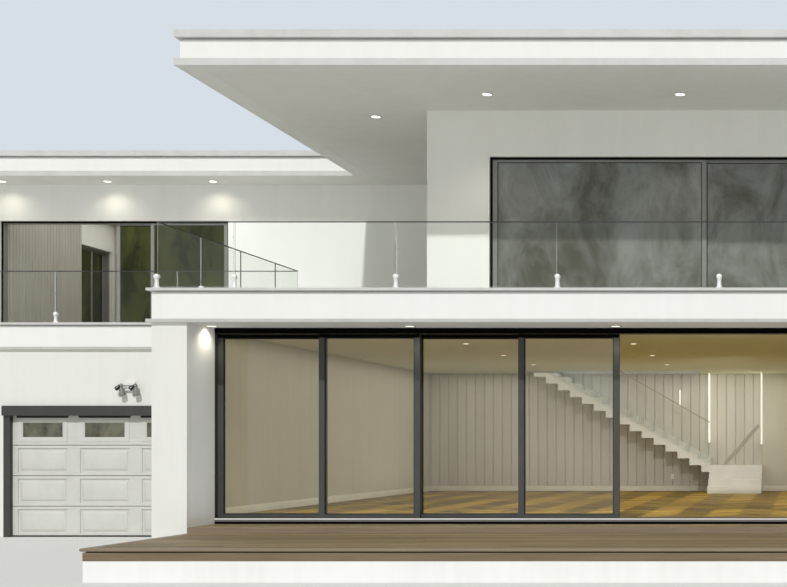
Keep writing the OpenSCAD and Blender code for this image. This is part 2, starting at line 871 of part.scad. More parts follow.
// Pane of a leaf of width w
module leaf_pane(w) {
    block([stile_w, (leaf_t - glass_t) / 2, rail_h],
          [w - stile_w, (leaf_t + glass_t) / 2, leaf_h - rail_h]);
}

module door_leaf(i) {
    color(frame_grey)
        translate([leaf_x(i), leaf_y(i), leaf_z])
            leaf_frame(leaf_width(i));
}

module door_glass(i) {
    color(glass_tint, 0.4)
        translate([leaf_x(i), leaf_y(i), leaf_z])
            leaf_pane(leaf_width(i));
}

module door_leaf_1() {
    door_leaf(1);
}

module door_leaf_2() {
    door_leaf(2);
}

module door_leaf_3() {
    door_leaf(3);
}

module door_leaf_4() {
    door_leaf(4);
}

module door_glass_1() {
    door_glass(1);
}

module door_glass_2() {
    door_glass(2);
}

module door_glass_3() {
    door_glass(3);
}

module door_glass_4() {
    door_glass(4);
}

module right_door_leaves() {
    color(frame_grey)
        for (i = [1 : 4])
            translate([-leaf_x(i) - leaf_width(i), leaf_y(i), leaf_z])
                leaf_frame(leaf_width(i));
}

module right_door_glass() {
    color(glass_tint, 0.4)
        for (i = [1 : 4])
            translate([-leaf_x(i) - leaf_width(i), leaf_y(i), leaf_z])
                leaf_pane(leaf_width(i));
}

module upper_window_frames() {
    color(frame_grey)
        for (w = upper_windows)
            on_side(w)
                window_frame(w[3], w[4], w[6]);
}

module upper_window_glass() {
    color(glass_tint, 0.4)
        for (w = upper_windows)
            on_side(w)
                window_panes(w[3], w[4], w[6]);
}

module ground_window_frames() {
    color(frame_grey)
        for (w = ground_windows)
            on_side(w)
                window_frame(w[3], w[4], w[6]);
}

module ground_window_glass() {
    color(glass_tint, 0.4)
        for (w = ground_windows)
            on_side(w)
                window_panes(w[3], w[4], w[6]);
}

// Puts its children on a length of railing, X along it from the corner that it starts at
module on_run(run) {
    d = run[1] - run[0];
    translate([run[0][0], run[0][1], coping_z])
        rotate([0, 0, atan2(d[1], d[0])])
            children();
}

module railing_glass() {
    color(glass_tint, 0.3)
        for (run = rail_runs) {
            s = stops(run);
            on_run(run)
                for (i = [0 : len(s) - 2])
                    block([s[i] + pane_gap, -pane_t / 2, pane_lift],
                          [s[i + 1] - pane_gap, pane_t / 2, railing_h - cap_h]);
        }
}

module railing_rail() {
    color(frame_grey)
        for (run = rail_runs)
            on_run(run)
                block([cap_w / 2 + joint, -cap_w / 2, railing_h - cap_h],
                      [run_length(run) - cap_w / 2 - joint, cap_w / 2, railing_h]);
}

// A round clamp on the coping: bell foot, neck and head, slotted for the panes that leave it at the angles
module clamp(angles) {
    difference() {
        union() {
            cylinder(r1 = clamp_foot_r, r2 = clamp_neck_r, h = clamp_foot_h);
            cylinder(r = clamp_neck_r, h = clamp_head_z);
            translate([0, clamp_neck_r, clamp_head_z])
                rotate([90, 0, 0])
                    cylinder(r = clamp_head_r, h = 2 * clamp_neck_r);
        }
        for (a = angles)
            rotate([0, 0, a])
                block([-pane_t / 2, -pane_t / 2, pane_lift],
                      [clamp_foot_r, pane_t / 2, clamp_head_z + clamp_head_r + 1]);
    }
}

module railing_clamps() {
    color(steel_white) {
        for (run = rail_runs) {
            s = stops(run);
            on_run(run)
                for (i = [1 : len(s) - 2])
                    translate([s[i], 0, 0])
                        clamp([0, 180]);
        }
        translate([rail_path[1][0], rail_path[1][1], coping_z])
            clamp([0, 90]);
        translate([rail_path[2][0], rail_path[2][1], coping_z])
            clamp([180, 270]);
        translate([rail_path[3][0], rail_path[3][1], coping_z])
            clamp([0, 90]);
        translate([rail_path[4][0], rail_path[4][1], coping_z])
            clamp([180, 90]);
        translate([rail_path[5][0], rail_path[5][1], coping_z])
            clamp([180, 270]);
    }
}

// Stair from the ground floor to the upper floor
riser_h = (first_z - floor_z) / risers;
landing_z = floor_z + lower_risers * riser_h;
landing_y = room_y - stair_w;
upper_steps = risers - lower_risers - 1;

// Solid lower steps that face the doors, with the landing behind them
module stair_lower_flight() {
    color("#ecece8")
        union() {
            for (i = [1 : lower_risers - 1])
                block([-stair_x, landing_y - (lower_risers - i) * going, floor_z],
                      [-stair_x + lower_w, room_y, floor_z + i * riser_h]);
            block([-stair_x, landing_y, floor_z], [-stair_x + lower_w, room_y, landing_z]);
        }
}

// Upper side of the folded flight, step by step to the left and up
function fold_top(i) = [
    [-stair_x - (i - 1) * going, landing_z + (i - 1) * riser_h],
    [-stair_x - (i - 1) * going, landing_z + i * riser_h]
];
// Lower side of the folded flight, its thickness behind and below
function fold_under(i) = [
    [-stair_x - i * going - riser_t, landing_z + i * riser_h - tread_t],
    [-stair_x - (i - 1) * going - riser_t, landing_z + i * riser_h - tread_t]
];

module stair_upper_flight() {
    tops = [for (i = [1 : upper_steps]) each fold_top(i)];
    unders = [for (i = [upper_steps : -1 : 1]) each fold_under(i)];
    last_x = -stair_x - upper_steps * going;
    last_z = landing_z + upper_steps * riser_h;
    outline = concat(
        tops,
        [[last_x, last_z], [last_x, first_z], [last_x - riser_t, first_z],
         [last_x - riser_t, last_z - tread_t]],
        [for (i = [1 : len(unders) - 1]) unders[i]],
        [[-stair_x - riser_t, landing_z - tread_t], [-stair_x, landing_z - tread_t]]
    );
    color("#ecece8")
        translate([0, room_y, 0])
            rotate([90, 0, 0])
                linear_extrude(stair_w)
                    polygon(outline);
}

// Glass in front of the folded flight, following its slope
module stair_glass() {
    run_x = upper_steps * going;
    rise = upper_steps * riser_h;
    top = stair_glass_h;
    color(glass_tint, 0.3)
        translate([-stair_x, landing_y, landing_z])
            rotate([90, 0, 0])
                linear_extrude(stair_glass_t)
                    polygon([[0, 0], [0, top + riser_h], [-run_x, top + rise + riser_h], [-run_x, rise]]);
}

module stair_handrail() {
    run_x = upper_steps * going;
    rise = upper_steps * riser_h;
    z0 = landing_z + stair_glass_h + riser_h;
    color("#b8b8b4")
        translate([-stair_x, landing_y - (stair_glass_t - handrail_t) / 2, z0])
            rotate([90, 0, 0])
                linear_extrude(handrail_t)
                    polygon([[0, 0], [0, handrail_t], [-run_x, rise + handrail_t], [-run_x, rise]]);
}

// Places of the round lamps: porch, roof front, roof sides, wing and living room
porch_lamps = [
    for (s = [-1, 1], x = [porch_lamp_inner, porch_lamp_mid, main_x - pier_w - porch_lamp_side])
        [s * x, front_y + porch_lamp_in, soffit_z]
];
front_lamps = [for (i = [-1 : 1]) [i * roof_lamp_pitch - roof_lamp_shift, roof_front + roof_lamp_in, roof_z]];
side_lamps = [
    for (s = [-1, 1], i = [0, 1]) [s * (upper_x + side_lamp_out), side_lamp_y + i * side_lamp_pitch, roof_z]
];
wing_lamps = [
    for (i = [0 : 2]) [wing_x + wing_lamp_in + i * wing_lamp_pitch, wing_upper_y - wing_lamp_out, roof_z]
];
room_lamps = [
    for (x = [-1 : 2 / 3 : 1], i = [0 : 2]) [x * room_lamp_x, lamp_row_y + i * lamp_row_pitch, soffit_z]
];

module downlights() {
    color("#f6f4ec")
        for (p = concat(porch_lamps, front_lamps, side_lamps, wing_lamps, room_lamps))
            translate([p[0], p[1], p[2] - lamp_h])
                cylinder(r = lamp_r, h = lamp_h);
}

foundation();
ground_floor();
deck();
deck_step();
left_pier();
right_pier();
ground_left_wall();
ground_right_wall();
ground_back_wall();
garage_front_wall();
garage_left_wall();
garage_back_wall();
garage_floor();
garage_door();
garage_door_glass();
garage_door_frame();
floodlight();
first_floor_slab();
stairwell_slabs();
terrace_slab();
balcony_edge();
balcony_coping();
upper_front_wall();
upper_left_wall();
upper_right_wall();
upper_back_wall();
wing_front_wall();
wing_left_wall();
roof_slab();
wing_roof_slab();
roof_edge();
roof_coping();
door_frame();
right_door_leaves();
right_door_glass();
upper_window_frames();
upper_window_glass();
ground_window_frames();
ground_window_glass();
railing_glass();
railing_rail();
railing_clamps();
stair_lower_flight();
stair_upper_flight();
stair_glass();
stair_handrail();
downlights();
door_leaf_1();
door_leaf_2();
door_leaf_3();
door_leaf_4();
door_glass_1();
door_glass_2();
door_glass_3();
door_glass_4();
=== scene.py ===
"""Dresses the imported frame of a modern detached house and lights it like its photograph."""
import logging
import math
from collections.abc import Iterator
from dataclasses import dataclass, field
from enum import Enum

import bmesh
import bpy
import numpy as np
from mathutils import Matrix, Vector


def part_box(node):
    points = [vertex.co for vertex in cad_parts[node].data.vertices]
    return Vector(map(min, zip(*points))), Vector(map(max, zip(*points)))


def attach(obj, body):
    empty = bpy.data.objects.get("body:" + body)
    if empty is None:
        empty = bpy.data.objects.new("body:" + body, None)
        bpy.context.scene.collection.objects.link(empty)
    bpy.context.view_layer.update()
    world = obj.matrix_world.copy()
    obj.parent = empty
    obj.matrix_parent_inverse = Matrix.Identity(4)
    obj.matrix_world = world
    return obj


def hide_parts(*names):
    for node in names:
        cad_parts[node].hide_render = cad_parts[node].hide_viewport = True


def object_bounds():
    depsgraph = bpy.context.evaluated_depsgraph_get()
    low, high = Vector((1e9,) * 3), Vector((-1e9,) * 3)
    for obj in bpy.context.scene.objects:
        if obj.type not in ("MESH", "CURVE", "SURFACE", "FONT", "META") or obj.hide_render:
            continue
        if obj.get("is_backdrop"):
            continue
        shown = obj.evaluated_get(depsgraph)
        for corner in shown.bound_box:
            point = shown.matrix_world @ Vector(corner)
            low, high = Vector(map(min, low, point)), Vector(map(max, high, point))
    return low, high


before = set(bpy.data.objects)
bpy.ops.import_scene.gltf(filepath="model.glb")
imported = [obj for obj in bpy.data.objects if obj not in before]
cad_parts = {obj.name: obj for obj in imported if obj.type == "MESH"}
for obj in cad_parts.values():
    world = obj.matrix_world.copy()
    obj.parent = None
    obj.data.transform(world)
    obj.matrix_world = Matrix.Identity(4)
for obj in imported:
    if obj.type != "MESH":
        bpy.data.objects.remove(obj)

CAD_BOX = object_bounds()
LOG = logging.getLogger("house")
X, Y, UP = np.eye(3)
BAR_POINTS = 32
TINY_R = 0.001
Triple = tuple[float, float, float]
Pairs = tuple[tuple[float, float], ...]
Shape = tuple[np.ndarray, list]
Pieces = Iterator[bpy.types.Object]


class Slot(Enum):
    """Material slots of the record."""

    RENDER = "render_white"
    CONCRETE = "concrete"
    COPING = "coping_grey"
    FRAME = "frame_grey"
    DECK = "deck_wood"
    PARQUET = "parquet"
    GATE = "gate_paint"
    GLASS = "glass"
    FITTING = "fitting"
    LAMP = "lamp"
    ROOF = "roof_sheet"


class Grain(Enum):
    """Direction that wood grain runs in, as the stretch of its pattern along X, Y and Z."""

    ALONG_X = (1.1, 30.0, 30.0)
    ALONG_Z = (30.0, 30.0, 1.1)


def linear(code: str) -> tuple[float, float, float, float]:
    """Turns an sRGB hex colour into linear values.

    Args:
        code: The colour as #RRGGBB.

    Returns:
        Red, green, blue and a full alpha.
    """
    channels = np.array([int(code[i:i + 2], 16) for i in (1, 3, 5)]) / 255
    bright = ((channels + 0.055) / 1.055) ** 2.4
    return (*np.where(channels <= 0.04045, channels / 12.92, bright).tolist(), 1.0)


def add_node(tree: bpy.types.NodeTree, kind: str, inputs: dict | None = None,
             **settings: object) -> bpy.types.Node:
    """Adds a shader node to a tree.

    Args:
        tree: Node tree that gets the node.
        kind: Node type without its first part, which all types share.
        inputs: What goes into each input, by name or number: a value, an output or a node's first output.
        settings: Properties of the node itself.

    Returns:
        The new node.
    """
    node = tree.nodes.new(f"ShaderNode{kind}")
    for key, value in settings.items():
        setattr(node, key, value)
    for key, value in (inputs or {}).items():
        if isinstance(value, bpy.types.Node):
            value = value.outputs[0]
        if isinstance(value, bpy.types.NodeSocket):
            tree.links.new(value, node.inputs[key])
        else:
            node.inputs[key].default_value = value
    return node


@dataclass(frozen=True)
class Finish:
    """A finish with its name and its main colour as sRGB hex."""

    name: str
    colour: str

    def shade(self, tree: bpy.types.NodeTree, place: bpy.types.NodeSocket) -> bpy.types.Node:
        """Adds the shader's nodes.

        Args:
            tree: The material's node tree.
            place: Object coordinates.

        Returns:
            The last node.
        """
        raise NotImplementedError

    def material(self) -> bpy.types.Material:
        """Makes the material on first use.

        Returns:
            The material.
        """
        made = bpy.data.materials.get(self.name)
        if made is None:
            made = bpy.data.materials.new(self.name)
            made.use_nodes = True
            tree = made.node_tree
            tree.nodes.clear()
            shader = self.shade(tree, add_node(tree, "TexCoord").outputs["Object"])
            add_node(tree, "OutputMaterial", {"Surface": shader})
        return made


@dataclass(frozen=True)
class TwoTone(Finish):
    """A finish that a pattern varies between its main colour and a second one."""

    second: str

    def blend(self, tree: bpy.types.NodeTree, pattern: bpy.types.Node, low: float, high: float,
              most: float = 1.0) -> bpy.types.NodeSocket:
        """Lets the second colour in where a pattern rises.

        Args:
            tree: The material's node tree.
            pattern: Node that gives the pattern.
            low: The pattern's value up to which only the main colour shows.
            high: Its value from which the second colour has its largest share.
            most: That share.

        Returns:
            Output of the blended colour.
        """
        share = add_node(tree, "MapRange", {
            "Value": pattern, "From Min": low, "From Max": high, "To Max": most})
        return add_node(tree, "Mix", {0: share, 6: linear(self.colour), 7: linear(self.second)},
                        data_type="RGBA").outputs[2]


@dataclass(frozen=True)
class MineralRender(TwoTone):
    """Fine mineral render, floated by hand and painted: matt, softly clouded, with faint rain streaks."""

    stained: float
    grain_mm: float = 26.0
    roughness: float = 0.88

    def shade(self, tree: bpy.types.NodeTree, place: bpy.types.NodeSocket) -> bpy.types.Node:
        """Clouds of about a metre and streaks down the wall tint the paint.

        The real grain is 1.5 mm. It is drawn at 26 mm, the finest that shows at this distance.

        Args:
            tree: The material's node tree.
            place: Object coordinates.

        Returns:
            The shader.
        """
        clouds = add_node(tree, "TexNoise", {
            "Vector": place, "Scale": 0.9, "Detail": 6.0, "Roughness": 0.62})
        fall = add_node(tree, "Mapping", {"Vector": place, "Scale": (5.0, 5.0, 0.35)})
        streaks = add_node(tree, "TexNoise", {
            "Vector": fall, "Scale": 1.0, "Detail": 4.0, "Roughness": 0.55})
        both = add_node(tree, "Math", {0: clouds, 1: streaks}, operation="MULTIPLY")
        colour = self.blend(tree, both, 0.16, 0.42, self.stained)
        grain = add_node(tree, "TexNoise", {
            "Vector": place, "Scale": 1000 / self.grain_mm, "Detail": 3.0, "Roughness": 0.6})
        relief = add_node(tree, "Bump", {"Height": grain, "Strength": 0.22, "Distance": 0.004})
        return add_node(tree, "BsdfPrincipled", {
            "Base Color": colour, "Roughness": self.roughness, "Specular IOR Level": 0.3, "Normal": relief})


@dataclass(frozen=True)
class CoatedMetal(TwoTone):
    """Powder-coated or anodised metal: an even colour with a soft satin gloss that varies a little."""

    roughness: float
    metallic: float = 0.0
    shine: float = 0.5

    def shade(self, tree: bpy.types.NodeTree, place: bpy.types.NodeSocket) -> bpy.types.Node:
        """Dust marks of about 0.4 m dull the coat, and its orange peel is drawn at 12 mm instead of 1 mm.

        Args:
            tree: The material's node tree.
            place: Object coordinates.

        Returns:
            The shader.
        """
        marks = add_node(tree, "TexNoise", {"Vector": place, "Scale": 2.6, "Detail": 7.0, "Roughness": 0.66})
        dull = add_node(tree, "MapRange", {
            "Value": marks, "To Min": self.roughness - 0.08, "To Max": self.roughness + 0.14})
        peel = add_node(tree, "TexNoise", {"Vector": place, "Scale": 80.0, "Detail": 1.0})
        relief = add_node(tree, "Bump", {"Height": peel, "Strength": 0.06, "Distance": 0.002})
        return add_node(tree, "BsdfPrincipled", {
            "Base Color": self.blend(tree, marks, 0.42, 0.72, 0.55), "Roughness": dull,
            "Metallic": self.metallic, "Specular IOR Level": self.shine, "Normal": relief})


@dataclass(frozen=True)
class BrushedSteel(Finish):
    """Stainless steel, brushed: a bright metal with a broad soft gloss."""

    roughness: float = 0.3

    def shade(self, tree: bpy.types.NodeTree, place: bpy.types.NodeSocket) -> bpy.types.Node:
        """Brush lines run across Z, drawn 3 mm apart instead of 0.1 mm.

        Args:
            tree: The material's node tree.
            place: Object coordinates.

        Returns:
            The shader.
        """
        brush = add_node(tree, "Mapping", {"Vector": place, "Scale": (20.0, 20.0, 330.0)})
        lines = add_node(tree, "TexNoise", {"Vector": brush, "Scale": 1.0, "Detail": 2.0})
        gloss = add_node(tree, "MapRange", {
            "Value": lines, "To Min": self.roughness - 0.1, "To Max": self.roughness + 0.12})
        relief = add_node(tree, "Bump", {"Height": lines, "Strength": 0.1, "Distance": 0.001})
        return add_node(tree, "BsdfPrincipled", {
            "Base Color": linear(self.colour), "Metallic": 1.0, "Roughness": gloss, "Normal": relief})


@dataclass(frozen=True)
class Timber(TwoTone):
    """Planed boards: long grain in two colours, each board a little lighter or darker than the next."""

    grain: Grain
    roughness: float
    turn_deg: float = 0.0
    contrast: float = 0.8
    sheen: float = 0.5
    varied: float = 0.9

    def shade(self, tree: bpy.types.NodeTree, place: bpy.types.NodeSocket) -> bpy.types.Node:
        """Growth rings 33 mm apart are stretched along the board, and each board's tone moves them.

        Args:
            tree: The material's node tree.
            place: Object coordinates.

        Returns:
            The shader.
        """
        tone = add_node(tree, "Attribute", attribute_name="tone").outputs["Fac"]
        turned = add_node(tree, "Mapping", {
            "Vector": place, "Rotation": (0.0, 0.0, math.radians(self.turn_deg))})
        along = add_node(tree, "Mapping", {"Vector": turned, "Scale": self.grain.value})
        shift = add_node(tree, "Math", {0: tone, 1: 37.0}, operation="MULTIPLY")
        rings = add_node(tree, "TexNoise", {
            "Vector": along, "W": shift, "Scale": 1.0, "Detail": 5.0, "Roughness": 0.6, "Distortion": 0.4},
            noise_dimensions="4D")
        lighter = add_node(tree, "Math", {0: tone, 1: self.varied, 2: -self.varied / 2},
                           operation="MULTIPLY_ADD")
        sharp = add_node(tree, "MapRange", {
            "Value": rings, "From Min": 0.32, "From Max": 0.68, "To Min": 0.5 - self.contrast / 2,
            "To Max": 0.5 + self.contrast / 2})
        factor = add_node(tree, "Math", {0: sharp, 1: lighter}, use_clamp=True)
        colour = add_node(tree, "Mix", {0: factor, 6: linear(self.second), 7: linear(self.colour)},
                          data_type="RGBA")
        relief = add_node(tree, "Bump", {"Height": rings, "Strength": 0.25, "Distance": 0.002})
        gloss = add_node(tree, "MapRange", {
            "Value": rings, "To Min": self.roughness - 0.1, "To Max": self.roughness + 0.15})
        return add_node(tree, "BsdfPrincipled", {
            "Base Color": colour.outputs[2], "Roughness": gloss, "Specular IOR Level": self.sheen,
            "Normal": relief})


@dataclass(frozen=True)
class FloatGlass(Finish):
    """Float glass: clear, smooth and slightly tinted. Lamps shine through it."""

    smudged: float = 0.03
    ior: float = 1.45
    thin: float = 0.0

    def shade(self, tree: bpy.types.NodeTree, place: bpy.types.NodeSocket) -> bpy.types.Node:
        """A refracting pane, clear to the light of lamps, with faint smudges of about 0.5 m in its gloss.

        A thin sheet lets its share of the view straight through.

        Args:
            tree: The material's node tree.
            place: Object coordinates.

        Returns:
            The shader.
        """
        smudges = add_node(tree, "TexNoise", {"Vector": place, "Scale": 2.0, "Detail": 5.0})
        gloss = add_node(tree, "MapRange", {
            "Value": smudges, "From Min": 0.5, "From Max": 0.75, "To Max": self.smudged})
        pane = add_node(tree, "BsdfPrincipled", {
            "Base Color": linear(self.colour), "Roughness": gloss, "IOR": self.ior,
            "Transmission Weight": 1.0})
        clear = add_node(tree, "BsdfTransparent", {"Color": linear(self.colour)})
        shadow = add_node(tree, "LightPath").outputs["Is Shadow Ray"]
        straight = add_node(tree, "Math", {0: shadow, 1: self.thin}, operation="MAXIMUM")
        return add_node(tree, "MixShader", {0: straight, 1: pane, 2: clear})


@dataclass(frozen=True)
class GlassWithPaintedReflection(TwoTone):
    """Glass that lets only part of the light through; the rest of it shows a painted reflection in clouds of
    two colours.
    """

    clear: float
    patch_m: float
    ior: float = 1.5

    def shade(self, tree: bpy.types.NodeTree, place: bpy.types.NodeSocket) -> bpy.types.Node:
        """Painted reflection: ragged clouds in two tones, a little taller than wide, under a smooth gloss.

        Args:
            tree: The material's node tree.
            place: Object coordinates.

        Returns:
            The shader.
        """
        tall = add_node(tree, "Mapping", {"Vector": place, "Scale": (1.0, 1.0, 0.6)})
        clouds = add_node(tree, "TexNoise", {
            "Vector": tall, "Scale": 1 / self.patch_m, "Detail": 9.0, "Roughness": 0.68, "Distortion": 0.5})
        return add_node(tree, "BsdfPrincipled", {
            "Base Color": self.blend(tree, clouds, 0.38, 0.64), "Roughness": 0.05, "IOR": self.ior,
            "Transmission Weight": self.clear})


@dataclass(frozen=True)
class LitLens(Finish):
    """Frosted acrylic lens of a lamp that is on."""

    strength: float = 3.0

    def shade(self, tree: bpy.types.NodeTree, place: bpy.types.NodeSocket) -> bpy.types.Node:
        """An even warm glow with the lens's fine prisms as relief, drawn 8 mm apart.

        Args:
            tree: The material's node tree.
            place: Object coordinates.

        Returns:
            The shader.
        """
        prisms = add_node(tree, "TexVoronoi", {"Vector": place, "Scale": 125.0})
        relief = add_node(tree, "Bump", {"Height": prisms, "Strength": 0.3, "Distance": 0.002})
        return add_node(tree, "BsdfPrincipled", {
            "Base Color": linear(self.colour), "Roughness": 0.4, "Emission Color": linear(self.colour),
            "Emission Strength": self.strength, "Normal": relief})


@dataclass(frozen=True)
class Mottled(TwoTone):
    """Cast, laid or rolled sheet goods: concrete, tiles, roofing and rubber, mottled in two colours."""

    patch_m: float
    grain_mm: float
    roughness: float
    depth: float = 0.003

    def shade(self, tree: bpy.types.NodeTree, place: bpy.types.NodeSocket) -> bpy.types.Node:
        """Patches and grain mix the two colours, and each laid piece has its own tone.

        Args:
            tree: The material's node tree.
            place: Object coordinates.

        Returns:
            The shader.
        """
        tone = add_node(tree, "Attribute", attribute_name="tone").outputs["Fac"]
        patches = add_node(tree, "TexNoise", {
            "Vector": place, "Scale": 1 / self.patch_m, "Detail": 7.0, "Roughness": 0.6})
        grain = add_node(tree, "TexNoise", {
            "Vector": place, "Scale": 1000 / self.grain_mm, "Detail": 3.0, "Roughness": 0.7})
        mixed = add_node(tree, "Math", {0: grain, 1: 0.35, 2: patches}, operation="MULTIPLY_ADD")
        toned = add_node(tree, "Math", {0: tone, 1: 0.25, 2: mixed}, operation="MULTIPLY_ADD")
        relief = add_node(tree, "Bump", {"Height": grain, "Strength": 0.3, "Distance": self.depth})
        return add_node(tree, "BsdfPrincipled", {
            "Base Color": self.blend(tree, toned, 0.5, 0.95), "Roughness": self.roughness, "Normal": relief})


RENDER_WHITE = MineralRender("mineral_render_white", "#E7E7E2", "#D9D9D3", 0.35)
# A lighter copy of the white render on the upper front walls: painted light
RENDER_WHITE_LIT = MineralRender("mineral_render_painted_light", "#F3F3EF", "#E6E6E1", 0.35)
BAND_PAINT = MineralRender("band_paint_smooth", "#F0F0ED", "#E2E2DD", 0.3, 60.0, 0.7)
SOFFIT_PAINT = MineralRender("soffit_paint_matt", "#DEDED8", "#D2D2CA", 0.4, 60.0, 0.85)
# A slightly darker copy of the soffit paint under the roof: painted shade
ROOF_SOFFIT_SHADED = MineralRender("soffit_paint_painted_shade", "#DBDBD6", "#CFCFC8", 0.4, 60.0, 0.85)
PLINTH_RENDER = MineralRender("plinth_render_hard", "#F2F2F0", "#DEDEDA", 0.4)
ROOM_PLASTER = MineralRender("room_plaster_painted", "#D0CDBE", "#C3BFAF", 0.5, 60.0, 0.8)
# A darker copy of the room plaster on the living room's side walls: painted shade
ROOM_PLASTER_SHADED = MineralRender("side_plaster_shaded_copy", "#C6C3B3", "#B9B6A6", 0.5, 60.0, 0.8)
CEILING_PAINT = MineralRender("ceiling_paint_rolled", "#CFCEB2", "#C3C2A4", 0.5, 60.0, 0.85)
COPING_SHEET = CoatedMetal("coping_sheet_coated", "#CFCFCC", "#B9B9B4", 0.45)
LIP_SHEET = CoatedMetal("lip_sheet_coated", "#C2C2BE", "#ADADA8", 0.45)
DOOR_COAT = CoatedMetal("aluminium_coated_anthracite", "#3C3D39", "#494A45", 0.5)
WINDOW_COAT = CoatedMetal("aluminium_coated_grey", "#7E7E78", "#8C8C85", 0.4)
# Near black with almost no gloss: painted shade on covers over frames and heads and under the threshold
SHADE_BLACK_COAT = CoatedMetal("painted_shade_black", "#040404", "#0A0A09", 0.75, shine=0.05)
LINTEL_COAT = CoatedMetal("lintel_sheet_coated_dark", "#383832", "#43433C", 0.5)
THRESHOLD = CoatedMetal("threshold_anodised", "#767672", "#63635F", 0.4, 0.3)
THRESHOLD_NOSE = CoatedMetal("threshold_nose_bright", "#E6E6E3", "#DADAD6", 0.35)
GATE_STEEL = CoatedMetal("gate_steel_coated", "#CFCFC9", "#C0C0B9", 0.5)
STAIR_PAINT = CoatedMetal("stair_paint_satin", "#D4D3CC", "#C4C3BB", 0.45)
HANDRAIL = CoatedMetal("handrail_anodised", "#A8A38E", "#97927D", 0.4, 0.3)
LANDING_RAIL = CoatedMetal("landing_rail_painted", "#A5A194", "#918D80", 0.45)
RAIL_CAP = CoatedMetal("rail_cap_anodised_dark", "#3A3B3A", "#55554F", 0.35, 0.5)
FITTING = CoatedMetal("fitting_satin_chrome", "#F0F0EE", "#DADAD6", 0.35, 0.25)
DIE_CAST = CoatedMetal("die_cast_grey", "#80807A", "#8C8C85", 0.5)
DARK_LENS = CoatedMetal("sensor_lens_moulded", "#121211", "#1E1E1C", 0.2)
SKIRTING = CoatedMetal("skirting_paint", "#DDD8C8", "#C9C4B2", 0.5)
STEEL = BrushedSteel("stainless_steel_brushed", "#DADCDC")
DECK_WOOD = Timber("hardwood_weathered", "#8B7853", "#615238", Grain.ALONG_X, 0.55, contrast=0.5)
DECK_NOSE = Timber("hardwood_nose_board", "#93836A", "#746552", Grain.ALONG_X, 0.5, contrast=0.5)
DECK_EDGE = Timber("hardwood_edge_board", "#93806A", "#66563F", Grain.ALONG_X, 0.55, contrast=0.5)
# Lit and shaded copies of the oak for the two ways of the herringbone: painted sheen along the grain
OAK_LEFT_LIT = Timber("oak_parquet_left_painted_lit", "#B89638", "#5A480E", Grain.ALONG_X, 0.42, -45.0, 0.9, 0.1)
OAK_RIGHT_SHADED = Timber("oak_parquet_right_painted_shade", "#967A2C", "#46370C", Grain.ALONG_X, 0.42, 45.0, 0.9, 0.1)
OAK_BASE = Timber("oak_floor_boards", "#98824A", "#6A5930", Grain.ALONG_X, 0.4)
ROOM_BOARDS = Timber("boards_painted_pale", "#D3CFC3", "#BDB8AB", Grain.ALONG_Z, 0.6, contrast=0.35,
                     varied=0.25)
WING_BOARDS = Timber("boards_limed_grey", "#BDBBB3", "#A9A69C", Grain.ALONG_Z, 0.65, contrast=0.4,
                     varied=0.25)
WINDOW_GLASS = FloatGlass("float_glass_clear", "#F9FAF6")
# Coated against reflection, so that the wall behind shows through it almost as it is
RAIL_GLASS = FloatGlass("railing_glass_toughened", "#FBFDFB", ior=1.18)
STAIR_GLASS = FloatGlass("stair_glass_toughened", "#FDFEFD", ior=1.12, thin=0.8)
# Painted reflection on these panes: grey on the upper windows, olive on the wing's, dark on the garage
# door's
UPPER_GLASS_PAINTED_REFLECTION = GlassWithPaintedReflection("glass_painted_reflection_grey", "#A0A29C", "#5E5C4A", 0.35, 0.9)
WING_GLASS = GlassWithPaintedReflection("glass_painted_reflection_olive", "#4F5226", "#25270E", 0.3, 0.7, 1.25)
GATE_GLASS = GlassWithPaintedReflection("acrylic_painted_reflection_dark", "#7A7966", "#33331A", 0.2, 0.6)
LENS = LitLens("acrylic_lens_lit", "#FFF6E4")
# The stair's glass fins glow with this though they are no lamp: painted light on their edges
FIN_GLOW_GLASS = LitLens("glass_fin_painted_glow", "#FFFFF6", 0.45)
RUBBER = Mottled("rubber_gasket", "#161616", "#222220", 0.3, 12.0, 0.7, 0.0005)
GARAGE_CONCRETE = Mottled("concrete_trowelled", "#A9A8A3", "#84837E", 1.2, 25.0, 0.7)
ROOF_MEMBRANE = Mottled("roof_membrane_welded", "#9C9C98", "#7D7D79", 1.8, 30.0, 0.75)
PAVER = Mottled("porcelain_paver", "#D8D6D0", "#C2C0B8", 0.5, 18.0, 0.65)
# Near black: painted shade in the hollow under the deck
UNDERDECK_SHADE_BLACK = Mottled("softwood_painted_shade_black", "#1B1814", "#2A251E", 0.4, 15.0, 0.8)


def lattice(layers: int, rows: int, columns: int, wrap_rows: bool, wrap_columns: bool) -> np.ndarray:
    """Numbers the four-sided faces of several equal grids of points.

    Args:
        layers: Number of grids.
        rows: Points along the first parameter.
        columns: Points along the second parameter.
        wrap_rows: Joins the last row to the first one.
        wrap_columns: Joins the last column to the first one.

    Returns:
        Faces as an array of four point numbers each.
    """
    k, i, j = np.meshgrid(
        np.arange(layers), np.arange(rows if wrap_rows else rows - 1),
        np.arange(columns if wrap_columns else columns - 1), indexing="ij")
    i2, j2 = (i + 1) % rows, (j + 1) % columns
    corners = [(i, j), (i2, j), (i2, j2), (i, j2)]
    return np.stack([k * rows * columns + a * columns + b for a, b in corners], -1).reshape(-1, 4)


